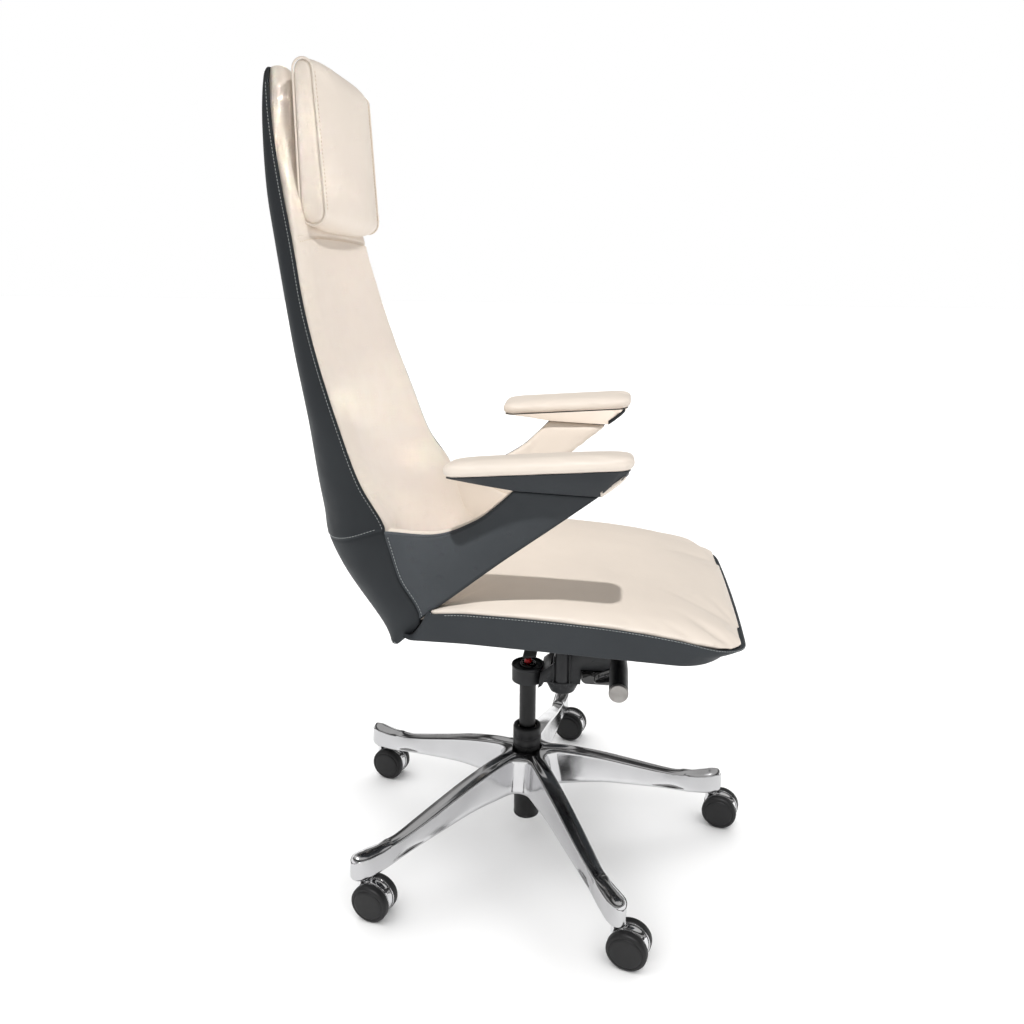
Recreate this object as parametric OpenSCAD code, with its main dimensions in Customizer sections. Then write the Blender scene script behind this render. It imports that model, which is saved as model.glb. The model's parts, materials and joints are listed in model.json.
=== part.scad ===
// Swivel office chair with a high wing back, a polished five-arm base and a knee-tilt mechanism.
// Millimetres. +Z is up, the sitter faces -Y, and the origin is on the floor under the column.

/* [Base] */
// Distance from the column axis to each caster stem
stem_circle_r = 331; // [315:1:345]
// Turn of the first arm from straight ahead
first_arm_turn = -61; // [-72:1:0]
// Diameter of the caster wheels
wheel_d = 60; // [58:0.5:60.5]
// How far each wheel axle trails behind its stem
caster_trail = 20; // [17:1:21]
// Swivel of every caster from straight ahead
caster_turn = -14; // [-40:1:40]

/* [Column] */
// Outer diameter of the column's outer tube
tube_d = 44; // [43:0.5:46]
// Outer diameter of the gas cylinder
cylinder_d = 28; // [27:0.5:29]

/* [Seat] */
// Width of the seat
seat_w = 504; // [490:1:520]
// Height of the seat shell's underside
seat_underside_z = 446; // [444:1:450]
// Height of the crown of the cushion over its seam
seat_crown = 14; // [8:1:26]

/* [Back] */
// Thickness of the upholstered outer shell
shell_t = 8; // [6:1:9]
// Depth of the hollow in the front of the back pad, low down
pad_dish = 26; // [10:1:32]

/* [Headrest] */
// Width of the headrest
headrest_w = 268; // [250:1:280]
// Height of the headrest
headrest_h = 216; // [200:1:220]

/* [Arm pads] */
// Width of an arm pad
pad_w = 86; // [80:1:90]
// Length of an arm pad
pad_l = 238; // [220:1:240]

/* [Hidden] */
$fn = 64;
arms = 5;
wheel_r = wheel_d / 2;
clear = 0.3;
turning_fit = 0.05;

// caster
hood_half = 7.5;
wheel_in = hood_half + 0.5;
wheel_out = 22.5;
caster_top = 62;
axle_d = 6;
stem_low_d = 8;
stem_d = 11;
stem_top = 92;

// base: each row is distance out, top, underside, half width of the top, half width of the underside
boss_r = 16;
boss_bottom = 62.5;
hub_r = 38;
hub_bottom = 92;
hub_top = 162;
arm_rows = [
    [30, 161, 96, 13, 21],
    [70, 155, 97, 14, 21],
    [130, 141, 95, 14, 19],
    [190, 123, 86, 13.5, 17.5],
    [236, 109, 77, 12.5, 15],
    [268, 101, 69, 11, 12.5],
    [298, 100, 64, 12.5, 13.5],
    [331, 101, 63, 14, 15],
    [342, 99, 63, 12, 13],
    [350, 93, 65, 5, 6]
];

// column
tube_bottom = 32;
tube_top = 200;
tube_wall = 2;
collar_d = tube_d + 4;
collar_bottom = hub_top + 7;
collar_top = tube_top + 5;
rod_d = 10;
bearing_top = 43;
piston_d = 22;
cylinder_bottom = 110;
mech_top = 316;

// mechanism
mech_bottom = 289;
mech_half = 32;
mech_wall = 5;
cover_rear = -90;
cover_front = -142;
cover_top = 326;
hub_out_r = 27;
knob_y = -59;
knob_top = 298;
tilt_y = -151;
tilt_z = 372;
tilt_axle_d = 12;
rocker_x = 18;
rocker_y = -112;
rocker_z = 361;
flange_in = mech_half + 2;
flange_t = 5;
plate_t = 6;
back_bolt_x = 60;
plate_top = seat_underside_z;
plate_bottom = plate_top - plate_t;
lever_d = 28;
lever_end = -200;

// back: each row is height, half width, front edge of the side, rear face at the middle
back_rows = [
    [442, 227, 163, 183],
    [484, 238, 127, 229],
    [544, 240, 156, 271],
    [590, 238, 169, 294],
    [620, 232, 178, 298],
    [670, 224, 210, 303],
    [750, 219, 239, 309],
    [840, 206, 269, 323],
    [920, 190, 291, 336],
    [1000, 167, 307, 353],
    [1060, 151, 317, 363],
    [1140, 131, 327, 366],
    [1190, 120, 331, 362],
    [1218, 110, 334, 355]
];
back_bottom = 442;
back_top = 1218;
roundness = 3;
pad_bottom = 476;
board_t = 7;
board_rear = 11.5;
pad_rear = board_rear + board_t + 3;

// wing curves: each row is share of the way from seam to tip, then x, y, z on the sitter's right
wing_upper = [
    [0, -238, 173, 611],
    [0.3, -248, 100, 613],
    [0.6, -267, 44, 639],
    [0.82, -282, 12, 666],
    [1, -291, -10, 688]
];
wing_lower = [
    [0, -238, 139, 512],
    [0.2, -243, 84, 522],
    [0.5, -258, 10, 580],
    [0.78, -276, -62, 638],
    [1, -291, -118, 684]
];
wing_shell_t = 11;
wing_t = 30;
wing_bulge = 5;
seam_gap = 2;

// seat: rows of depth and height of the stitched rim
rim_rows = [[-329, 456], [-300, 464], [-230, 481], [-120, 495], [60, 504], [120, 500]];
seat_front = -329;
rim_rear = 112;
base_rear = 148;
front_corner = 66;
rear_corner = 24;
rim_t = 9;
skirt_fall = 0.05;
tray_z = 462;
seat_board_t = 9;

// arm pads and their brackets
pad_x = 281;
pad_y = -39;
pad_rear_z = 703.5;
pad_front_z = 721;
pad_t = 22;
pad_lean = 0.095;
bracket_rows = [[74, 701], [30, 694], [-10, 688.4], [-116, 684.4], [-140, 703], [-151, 715]];
bracket_split = -277.5;

// headrest
headrest_z = 1117;
headrest_rear = 311;
headrest_t = 40;

// ---- shared shapes ----

// Row before x in a table whose first column rises
function row_at(table, x, i = 0) =
    i >= len(table) - 2 || x < table[i + 1][0] ? i : row_at(table, x, i + 1);

// Slope of one column at row i of a table
function slope_at(table, i, col) =
    let (a = max(i - 1, 0), b = min(i + 1, len(table) - 1))
    (table[b][col] - table[a][col]) / (table[b][0] - table[a][0]);

// Smooth curve through one column of a table
function smooth(table, x, col = 1) =
    let (
        i = row_at(table, x),
        span = table[i + 1][0] - table[i][0],
        t = (x - table[i][0]) / span
    )
    (2 * pow(t, 3) - 3 * t * t + 1) * table[i][col]
    + (pow(t, 3) - 2 * t * t + t) * span * slope_at(table, i, col)
    + (3 * t * t - 2 * pow(t, 3)) * table[i + 1][col]
    + (pow(t, 3) - t * t) * span * slope_at(table, i + 1, col);

function mix(a, b, t) = a + (b - a) * t;

// Closed solid through a list of rings that all have the same number of points
module loft(rings) {
    n = len(rings[0]);
    m = len(rings);
    ends = [for (r = [rings[0], rings[m - 1]]) [for (k = [0:2]) sum_of(r, k) / n]];
    points = concat([for (r = rings) each r], ends);
    sides = [for (i = [0:m - 2], j = [0:n - 1])
        let (a = i * n + j, b = i * n + (j + 1) % n)
        each [[a, a + n, b], [b, a + n, b + n]]];
    first = [for (j = [0:n - 1]) [j, (j + 1) % n, m * n]];
    last = [for (j = [0:n - 1]) [(m - 1) * n + (j + 1) % n, (m - 1) * n + j, m * n + 1]];
    polyhedron(points, concat(sides, first, last), convexity = 6);
}

function sum_of(points, k, i = 0) = i == len(points) ? 0 : points[i][k] + sum_of(points, k, i + 1);

// Closed solid between two grids of points of the same size; a's normal faces out
module sheet(a, b) {
    m = len(a);
    n = len(a[0]);
    size = m * n;
    cells = [for (i = [0:m - 2], j = [0:n - 2]) i * n + j];
    rim = concat(
        [for (j = [0:n - 2]) [j, j + 1]],
        [for (i = [0:m - 2]) [i * n + n - 1, (i + 1) * n + n - 1]],
        [for (j = [n - 1:-1:1]) [(m - 1) * n + j, (m - 1) * n + j - 1]],
        [for (i = [m - 1:-1:1]) [i * n, (i - 1) * n]]
    );
    polyhedron(
        concat([for (r = a) each r], [for (r = b) each r]),
        concat(
            [for (c = cells) each [[c, c + 1, c + n], [c + 1, c + n + 1, c + n]]],
            [for (c = cells) each [
                [size + c, size + c + n, size + c + 1],
                [size + c + 1, size + c + n, size + c + n + 1]
            ]],
            [for (e = rim) each [[e[0], size + e[0], e[1]], [e[1], size + e[0], size + e[1]]]]
        ),
        convexity = 8
    );
}

// Rounded rectangle of points about the origin
function rounded(hx, hy, r, step = 15) =
    [for (q = [0:3], a = [q * 90:step:q * 90 + 90])
        [(q == 0 || q == 3 ? hx - r : r - hx) + r * cos(a), (q < 2 ? hy - r : r - hy) + r * sin(a)]];

// Bar along X between two faces
module bar_x(d, x0, x1) {
    translate([x0, 0, 0]) rotate([0, 90, 0]) cylinder(d = d, h = x1 - x0);
}

// Plate across X, from a side outline given as [y, z] points
module side_plate(points, x0, x1) {
    translate([x0, 0, 0]) rotate([90, 0, 90]) linear_extrude(x1 - x0) polygon(points);
}

function arc(cy, cz, r, a0, a1, step = 15) =
    [for (a = [a0:(a1 > a0 ? step : -step):a1]) [cy + r * cos(a), cz + r * sin(a)]];

// ---- base ----

function arm_ring(r) =
    let (
        top = smooth(arm_rows, r, 1),
        low = smooth(arm_rows, r, 2),
        wt = smooth(arm_rows, r, 3),
        wb = smooth(arm_rows, r, 4),
        edge = 3,
        waist = mix(low, top, 0.4)
    )
    [[-wb + edge, low], [wb - edge, low], [wb, low + edge], [mix(wb, wt, 0.4), waist], [wt, top - edge],
     [wt - edge, top], [edge - wt, top], [-wt, top - edge], [-mix(wb, wt, 0.4), waist], [-wb, low + edge]];

module base_arm() {
    steps = [30, 48, 70, 100, 130, 160, 190, 215, 236, 252, 268, 283, 298, 315, 331, 342, 350];
    loft([for (r = steps) [for (p = arm_ring(r)) [p[0], -r, p[1]]]]);
}

module at_each_arm() {
    for (k = [0:arms - 1]) rotate([0, 0, first_arm_turn + 72 * k]) children();
}

module base_star() {
    color("silver") difference() {
        union() {
            translate([0, 0, hub_bottom]) cylinder(r = hub_r, h = hub_top - hub_bottom);
            at_each_arm() {
                base_arm();
                translate([0, -stem_circle_r, boss_bottom]) cylinder(r = boss_r, h = 34);
            }
        }
        translate([0, 0, hub_bottom - 1]) cylinder(d = tube_d, h = hub_top - hub_bottom + 2);
        at_each_arm() translate([0, -stem_circle_r, boss_bottom - 1])
            cylinder(d = stem_d, h = stem_top - boss_bottom + 1);
    }
}

// Moves its children to the foot of caster k's stem, keeping every caster's wheels parallel
module at_caster(k) {
    turn = first_arm_turn + 72 * (k - 1);
    translate([stem_circle_r * sin(turn), -stem_circle_r * cos(turn), 0])
        rotate([0, 0, caster_turn]) children();
}

module caster_stems() {
    color("dimgray") for (k = [1:arms]) at_caster(k) {
        translate([0, 0, 40]) cylinder(d = stem_low_d, h = boss_bottom - 40);
        translate([0, 0, boss_bottom]) cylinder(d = stem_d, h = stem_top - boss_bottom);
    }
}

module caster_hood(k) {
    color("gainsboro") at_caster(k) difference() {
        union() {
            translate([0, -caster_trail, wheel_r]) bar_x(2 * wheel_r - 6, -hood_half, hood_half);
            translate([-hood_half, -caster_trail, wheel_r]) cube([2 * hood_half, caster_trail, 27]);
            translate([0, 0, 20]) cylinder(r = hood_half, h = caster_top - 20.5);
            translate([0, 0, caster_top - 1]) cylinder(r = 11, h = 1);
        }
        translate([0, -caster_trail, wheel_r]) bar_x(axle_d, -20, 20);
        translate([0, 0, 39]) cylinder(d = stem_low_d + 2 * turning_fit, h = 30);
    }
}

module caster_axle(k) {
    color("dimgray") at_caster(k) translate([0, -caster_trail, wheel_r]) bar_x(axle_d, -17, 17);
}

module caster_wheel() {
    bore = axle_d / 2 + turning_fit;
    rotate([0, 90, 0]) rotate_extrude() polygon([
        [0, 17.5], [bore, 17.5], [bore, wheel_in],
        [wheel_r - 2, wheel_in], [wheel_r, wheel_in + 2], [wheel_r, 17.5],
        [wheel_r - 1, 19.8], [wheel_r - 3.5, 21.2], [wheel_r - 5.5, 21.2],
        [wheel_r - 6, 20.6], [wheel_r - 7, 20.6], [wheel_r - 7.6, wheel_out - 0.6],
        [wheel_r - 9, wheel_out], [0, wheel_out]
    ]);
}

module caster_wheels(k) {
    color("#1c1c1e") at_caster(k) translate([0, -caster_trail, wheel_r]) {
        caster_wheel();
        mirror([1, 0, 0]) caster_wheel();
    }
}

// ---- column ----

module outer_tube() {
    color("#202022") difference() {
        translate([0, 0, tube_bottom]) cylinder(d = tube_d, h = tube_top - tube_bottom);
        translate([0, 0, tube_bottom + 3]) cylinder(d = tube_d - 2 * tube_wall, h = tube_top);
        translate([0, 0, tube_bottom - 1]) cylinder(d = rod_d + 1, h = 5);
    }
}

module column_collar() {
    color("#2a2b2d") difference() {
        union() {
            translate([0, 0, collar_bottom]) cylinder(d = collar_d, h = collar_top - collar_bottom - 2);
            translate([0, 0, collar_top - 2]) cylinder(d1 = collar_d, d2 = collar_d - 4, h = 2);
        }
        translate([0, 0, collar_bottom - 1]) cylinder(d = tube_d, h = tube_top - collar_bottom + 1);
        translate([0, 0, tube_top - 1]) cylinder(d = cylinder_d + 2, h = 20);
    }
}

module guide_bush() {
    color("ivory") difference() {
        translate([0, 0, 128]) cylinder(d = tube_d - 2 * tube_wall, h = tube_top - 128);
        translate([0, 0, 127]) cylinder(d = cylinder_d + 2 * turning_fit, h = tube_top);
    }
}

module thrust_bearing() {
    race_r = 12;
    floor_z = tube_bottom + 3;
    color("lightsteelblue") {
        for (z = [floor_z, bearing_top - 2]) translate([0, 0, z]) difference() {
            cylinder(r = race_r, h = 2);
            translate([0, 0, -1]) cylinder(d = rod_d + 1, h = 4);
        }
        for (k = [0:8]) rotate([0, 0, 40 * k]) translate([8.75, 0, (floor_z + bearing_top) / 2])
            sphere(r = 1.9, $fn = 24);
    }
}

module piston_rod() {
    color("silver") {
        translate([0, 0, tube_bottom - 5]) cylinder(d = rod_d, h = 178 - tube_bottom + 5);
        translate([0, 0, bearing_top]) cylinder(d = 18, h = 4);
        translate([0, 0, 176]) cylinder(d = piston_d - 2 * turning_fit, h = 10);
    }
}

module retaining_clip() {
    color("gray") translate([0, 0, tube_bottom - 3]) difference() {
        cylinder(d = 18, h = 2);
        translate([0, 0, -1]) cylinder(d = rod_d, h = 4);
    }
}

module gas_cylinder() {
    color("#1d1e20") difference() {
        translate([0, 0, cylinder_bottom]) cylinder(d = cylinder_d, h = mech_top - cylinder_bottom);
        translate([0, 0, cylinder_bottom + 8]) cylinder(d = piston_d, h = 182);
        translate([0, 0, cylinder_bottom - 1]) cylinder(d = rod_d + 2 * turning_fit, h = 20);
        translate([0, 0, 290]) cylinder(d = 6 + 2 * turning_fit, h = 40);
    }
}

module valve_button() {
    color("#c4151c") {
        translate([0, 0, 303]) cylinder(d = 6, h = 20);
        translate([0, 0, mech_top + 5]) cylinder(d1 = 14, d2 = 10, h = 6);
    }
}

// ---- mechanism ----

module mechanism_housing() {
    nose = arc(tilt_y, tilt_z, 22, 250, 80);
    outline = concat(
        [[-20, mech_bottom], [-26, mech_bottom + 4], [-30, knob_top + 2], [cover_rear, knob_top + 2],
         [cover_rear, cover_top], [cover_front, cover_top]],
        nose,
        [[-100, 388], [-64, 350], [-24, mech_top]]
    );
    cavity = [[-82, 306], [-90, cover_top + 4], [-128, cover_top + 6], [-128, 430], [-40, 430], [-40, 306]];
    color("#232426") difference() {
        union() {
            translate([0, 0, mech_bottom]) cylinder(r = hub_out_r, h = mech_top - mech_bottom);
            side_plate(outline, -mech_half, mech_half);
        }
        side_plate(cavity, mech_wall - mech_half, mech_half - mech_wall);
        translate([0, 0, mech_bottom - 1]) cylinder(d = cylinder_d, h = 60);
        translate([0, tilt_y, tilt_z]) bar_x(tilt_axle_d, -60, 60);
        translate([0, knob_y, knob_top - 2]) cylinder(d = 12 + 2 * turning_fit, h = 20);
    }
    color("#232426") translate([0, rocker_y, rocker_z]) bar_x(4, rocker_x - 1, mech_half - mech_wall + 1);
}

// Glossy moulded cover under the front of the housing
module front_cover() {
    mid_y = (cover_rear + cover_front) / 2;
    reach = (cover_rear - cover_front) / 2 - clear;
    belly = function (inset) concat(
        [[mid_y + reach - inset, cover_top - clear]],
        arc(mid_y + reach - 12, cover_top - 12, 12 - inset, 0, -75),
        arc(mid_y - reach + 8, cover_top - 16, 8 - inset, -75, -180),
        [[mid_y - reach + inset, cover_top - clear]]
    );
    color("#0c0c0d") difference() {
        union() {
            side_plate(belly(0), -mech_half - 2, mech_half + 2);
            translate([mech_half + 2, 0, 0]) side_plate(belly(2), 0, 2);
            translate([-mech_half - 2, 0, 0]) side_plate(belly(2), -2, 0);
        }
        side_plate(belly(3), -mech_half, mech_half);
    }
}

module tilt_axle() {
    color("silver") translate([0, tilt_y, tilt_z]) difference() {
        bar_x(tilt_axle_d, -flange_in - flange_t - 3, flange_in + flange_t + 3);
        bar_x(7, -80, -12);
    }
}

// Coil spring between the housing floor and the seat bracket
module tilt_spring() {
    turns = 6;
    wire_r = 2.6;
    coil_r = 12.5;
    low = 311;
    high = plate_bottom - wire_r - clear;
    steps = 15;
    rings = [for (i = [0:turns * steps])
        let (a = i * 360 / steps, z = mix(low, high, i / (turns * steps)))
        [for (b = [300:-60:0])
            let (r = coil_r + wire_r * cos(b))
            [r * cos(a), r * sin(a), z + wire_r * sin(b)]]];
    color("#5a5c60") translate([0, knob_y, 0]) mirror([1, 0, 0]) loft(rings);
}

module tension_screw() {
    color("silver") translate([0, knob_y, 0]) {
        translate([0, 0, 280]) cylinder(d = 12, h = 40);
        translate([0, 0, 306 + clear]) cylinder(d = 33, h = 2);
    }
}

module tension_knob() {
    color("#2b2c2e") translate([0, knob_y, 0]) difference() {
        rotate_extrude() polygon([
            [0, 271], [14, 271], [21, 275], [27, 288], [28, 291], [28, knob_top], [0, knob_top]
        ]);
        translate([0, 0, 280]) cylinder(d = 12, h = 40);
        for (k = [0:11]) rotate([0, 0, 30 * k]) translate([30.5, 0, 284]) cylinder(r = 4, h = 20, $fn = 24);
    }
}

module lock_rod() {
    color("silver") translate([0, tilt_y, tilt_z]) bar_x(6.9, lever_end + 14, -16);
}

module lever_grip() {
    color("#141415") translate([0, tilt_y, tilt_z]) difference() {
        union() {
            bar_x(lever_d, lever_end + 6, -88);
            hull() {
                translate([-110, 0, 0]) bar_x(18, -50, 6);
                translate([-104, 34, -14]) bar_x(7, -36, 6);
            }
        }
        bar_x(7, lever_end + 12, -80);
    }
}

module lever_end_cap() {
    color("#c9c8c4") translate([0, tilt_y, tilt_z]) {
        bar_x(lever_d, lever_end + 1, lever_end + 6);
        bar_x(lever_d - 2, lever_end, lever_end + 1);
    }
}

module valve_lever() {
    arm = [
        [-4, 330.5], [-4, 333.5], [-70, 346],
        [rocker_y - 7, rocker_z + 4], [rocker_y - 7, rocker_z - 5], [-70, 341]
    ];
    tongue = [[9, 328.5], [9, 331.5], [-14, 335], [-14, 332]];
    color("dimgray") difference() {
        union() {
            side_plate(arm, rocker_x, rocker_x + 5);
            side_plate(tongue, -6, rocker_x + 5);
        }
        translate([0, rocker_y, rocker_z]) bar_x(4 + 2 * turning_fit, rocker_x - 2, rocker_x + 7);
    }
}

module at_seat_bolts() {
    for (x = [-86, 86], y = [-170, 84]) translate([x, y, 0]) children();
}

module at_back_bolts() {
    for (x = [-back_bolt_x, back_bolt_x], y = [60, 104]) translate([x, y, 0]) children();
}

module seat_bracket() {
    flange = concat(
        [[-178, plate_bottom + 1]],
        arc(tilt_y, tilt_z, 16, 180, 300),
        [[-90, 404], [70, 428], [86, plate_bottom + 1]]
    );
    color("#303134") difference() {
        union() {
            translate([-95, -200, plate_bottom]) cube([190, 320, plate_t]);
            side_plate(flange, flange_in, flange_in + flange_t);
            side_plate(flange, -flange_in - flange_t, -flange_in);
        }
        translate([0, tilt_y, tilt_z]) bar_x(tilt_axle_d + 2 * turning_fit, -60, 60);
        at_seat_bolts() translate([0, 0, plate_bottom - 1]) cylinder(d = 8, h = 20);
        at_back_bolts() translate([0, 0, plate_bottom - 1]) cylinder(d = 8, h = 20);
    }
}

// ---- seat ----

// Outline of the seat at one level: insets at the sides and front, and how far back it reaches
function seat_outline(side, front, rear) =
    let (
        hw = seat_w / 2 - side,
        fy = seat_front + front,
        rf = front_corner - min(side, 40),
        rr = max(rear_corner - side, 8),
        corner = function (cx, cy, r, from)
            [for (a = [from:15:from + 90]) [cx + r * cos(a), cy + r * sin(a)]],
        bow = function (p) [p[0], p[1] + 7 * pow(p[0] / hw, 2) * (p[1] < fy + rf ? 1 : 0)]
    )
    concat(
        corner(hw - rr, rear - rr, rr, 0),
        corner(rr - hw, rear - rr, rr, 90),
        [for (t = [0.2:0.2:0.8]) [-hw, mix(rear - rr, fy + rf, t)]],
        [for (p = corner(rf - hw, fy + rf, rf, 180)) bow(p)],
        [[0, fy]],
        [for (p = corner(hw - rf, fy + rf, rf, 270)) bow(p)],
        [for (t = [0.2:0.2:0.8]) [hw, mix(fy + rf, rear - rr, t)]]
    );

function rim_z(y) = smooth(rim_rows, max(y, seat_front));

// One ring of the seat: share 0 is the underside and 1 the stitched rim
function seat_ring(side, front, share, rise = 0, low = seat_underside_z) =
    let (rear = mix(base_rear, rim_rear, share) - min(side, 24 + side / 5))
    [for (p = seat_outline(side, front, rear)) [p[0], p[1], mix(low, rim_z(p[1]), share) + rise]];

// Lower edge of the shell, which falls a little towards the front
function skirt_ring(side, front) =
    [for (p = seat_ring(side, front, 0)) [p[0], p[1], p[2] + skirt_fall * (p[1] - tilt_y)]];

module seat_shell() {
    color("#40484d") difference() {
        loft([
            seat_ring(144, 118, 0),
            skirt_ring(22, 50),
            skirt_ring(10, 36),
            seat_ring(5, 25, 0.12),
            seat_ring(1, 9, 0.5),
            seat_ring(0, 0, 0.9),
            seat_ring(2, 2, 1),
            seat_ring(rim_t, rim_t, 1),
            seat_ring(rim_t, rim_t + 6, 0.75),
            seat_ring(rim_t + 14, 44, 0, tray_z - seat_underside_z),
            seat_ring(rim_t + 60, 90, 0, tray_z - seat_underside_z)
        ]);
        at_seat_bolts() translate([0, 0, seat_underside_z - 1]) cylinder(d = 8, h = 30);
    }
}

module seat_board() {
    low = tray_z;
    color("burlywood") difference() {
        translate([-200, -235, low]) cube([400, 325, seat_board_t]);
        at_seat_bolts() translate([0, 0, low - 1]) cylinder(d = 6, h = 7);
    }
}

module seat_cushion() {
    low = tray_z + seat_board_t + clear;
    gap = clear;
    color("#efe4d3") loft([
        seat_ring(rim_t + 60, 110, 0, low - seat_underside_z),
        seat_ring(rim_t + 26, 84, 0, low - seat_underside_z),
        seat_ring(rim_t + 5 * gap, rim_t + 8, 0.8, 1.5),
        seat_ring(rim_t + gap, rim_t + gap, 1),
        seat_ring(rim_t + gap + 1, rim_t + gap + 1, 1, 3),
        seat_ring(rim_t + 6, rim_t + 6, 1, 7),
        seat_ring(rim_t + 24, rim_t + 24, 1, 10),
        seat_ring(rim_t + 80, rim_t + 80, 1, seat_crown),
        seat_ring(rim_t + 150, rim_t + 130, 1, seat_crown)
    ]);
}

module seat_bolts() {
    color("dimgray") at_seat_bolts() {
        translate([0, 0, plate_bottom - 4]) cylinder(d = 13, h = 4, $fn = 6);
        translate([0, 0, plate_bottom - 1]) cylinder(d = 6, h = 29);
    }
}

// ---- back ----

// Point on the back at height z; t runs -1 to 1 around the shell, and inset moves it inwards
function back_point(z, t, inset) =
    let (
        w = smooth(back_rows, z, 1) - inset,
        edge = smooth(back_rows, z, 2),
        depth = smooth(back_rows, z, 3) - edge - inset,
        s = sin(90 * t),
        c = max(cos(90 * t), 0)
    )
    [w * sign(s) * pow(abs(s), 2 / roundness), edge + max(depth, 1) * pow(c, 2 / roundness), z];

function heights(low, high, count) = [for (i = [0:count]) mix(low, high, i / count)];

function around(count) = [for (j = [0:count]) -1 + 2 * j / count];

module back_shell() {
    zs = concat(heights(back_bottom, 590, 8), heights(608, back_top, 18));
    ts = around(20);
    color("#3f474c") sheet(
        [for (z = zs) [for (t = ts) back_point(z, t, 0)]],
        [for (z = zs) [for (t = ts) back_point(z, t, min(shell_t, 4 + (z - back_bottom) / 10))]]
    );
}

// Front face of the back pad: level with the shell's edge at the sides, hollowed in the middle
function pad_front(z, u, inset) =
    let (
        w = smooth(back_rows, z, 1) - inset,
        edge = smooth(back_rows, z, 2),
        deep = smooth(back_rows, z, 3) - edge,
        dish = min(pad_dish, 0.24 * deep)
    )
    [w * u, edge + 1 + dish * (1 - pow(abs(u), 2.4)) - 7 * (1 - pow(abs(u), 8)), z];

// Face at the rear of the pad and on both sides of the board
function board_face(z, u, off) =
    let (
        w = smooth(back_rows, z, 1) - shell_t - 1,
        edge = smooth(back_rows, z, 2),
        rear = back_point(z, 0, shell_t)[1],
        side = edge + max(2, min(6, 0.12 * (rear - edge))),
        bend = 1 - pow(abs(u), 3)
    )
    [w * u, mix(side, max(edge + 4, rear - off), pow(bend, 1 / 3)), z];

module back_pad() {
    zs = heights(pad_bottom, back_top - 2, 17);
    us = [-1, -0.94, -0.8, -0.6, -0.4, -0.2, 0, 0.2, 0.4, 0.6, 0.8, 0.94, 1];
    color("#efe4d3") sheet(
        [for (z = zs) [for (u = us) board_face(z, u, pad_rear)]],
        [for (z = zs) [for (u = us) pad_front(z, u, shell_t + 1)]]
    );
}

module back_board() {
    zs = heights(pad_bottom + 10, 1010, 14);
    us = [-0.75, -0.5, -0.25, 0, 0.25, 0.5, 0.75];
    color("burlywood") sheet(
        [for (z = zs) [for (u = us) board_face(z, u, board_rear)]],
        [for (z = zs) [for (u = us) board_face(z, u, board_rear + board_t)]]
    );
}

// Steel bars that carry the back from the seat bracket
module back_bars() {
    inner = function (z) back_point(z, 0, shell_t)[1];
    rise = [for (z = [456, 470, 484, 520, 560, 590, 640, 700]) [inner(z) - 3, z]];
    fall = [for (z = [700, 640, 592, 560, 520, 486, 472, 460]) [inner(z) - 9.5, z]];
    outline = concat(
        [[40, plate_bottom - 6], [158, plate_bottom - 6], [171, plate_bottom - 2]], rise, fall,
        [[166, plate_bottom + 6], [156, plate_bottom], [40, plate_bottom]]
    );
    color("#2e2f31") for (x = [-back_bolt_x, back_bolt_x]) difference() {
        side_plate(outline, x - 16, x + 16);
        at_back_bolts() translate([0, 0, plate_bottom - 10]) cylinder(d = 8, h = 20);
    }
}

module back_bolts() {
    color("dimgray") at_back_bolts() {
        translate([0, 0, plate_bottom - 10]) cylinder(d = 13, h = 4, $fn = 6);
        translate([0, 0, plate_bottom - 10]) cylinder(d = 8, h = 16);
    }
}

// ---- wings ----

function wing_curve(table, s) = [for (k = [1:3]) smooth(table, s, k)];

// How far the seam lies behind a straight line, so that the wing follows the edge of the back
function seam_shift(v) =
    let (low = wing_lower[0], high = wing_upper[0])
    smooth(back_rows, mix(low[3], high[3], v), 2) - mix(low[2], high[2], v);

// Point on the right wing's outer face: s runs from seam to tip, v from lower to upper edge
function wing_point(s, v, inset) =
    wing_curve(wing_lower, s) * (1 - v) + wing_curve(wing_upper, s) * v
    + [inset - 4 * wing_bulge * sin(180 * v) * s * (1 - s), seam_shift(v) * pow(1 - s, 3) - seam_gap, 0];

module wing_layer(near, far) {
    ss = heights(0, 1, 10);
    vs = heights(0, 1, 6);
    sheet(
        [for (s = ss) [for (v = vs) wing_point(s, v, near)]],
        [for (s = ss) [for (v = vs) wing_point(s, v, far)]]
    );
}

module wing_shell_right() {
    color("#40484d") wing_layer(0, wing_shell_t);
}

module wing_lining_right() {
    color("#efe4d3") wing_layer(wing_shell_t, wing_t);
}

// ---- arm brackets and pads ----

// Underside of the pad, which rises to the front and leans in towards the sitter
function pad_under(x, y) =
    mix(pad_rear_z, pad_front_z, (pad_y + pad_l / 2 - y) / pad_l) - pad_lean * (x + pad_x);

// Half of a wedge bracket between two x positions at the foot and two at the top
module bracket_half(foot_a, foot_b, top_a, top_b) {
    loft([for (row = bracket_rows)
        let (y = row[0], low = min(row[1], pad_under(foot_b, y) - 2))
        [
            [top_b, y, pad_under(top_b, y)], [top_a, y, pad_under(top_a, y)],
            [foot_a, y, low], [foot_b, y, low]
        ]]);
}

module bracket_outer_right() {
    color("#3b4247") bracket_half(-291, bracket_split, -313, bracket_split);
}

module bracket_inner_right() {
    color("#efe4d3") bracket_half(bracket_split, -261, bracket_split, -247);
}

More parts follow.
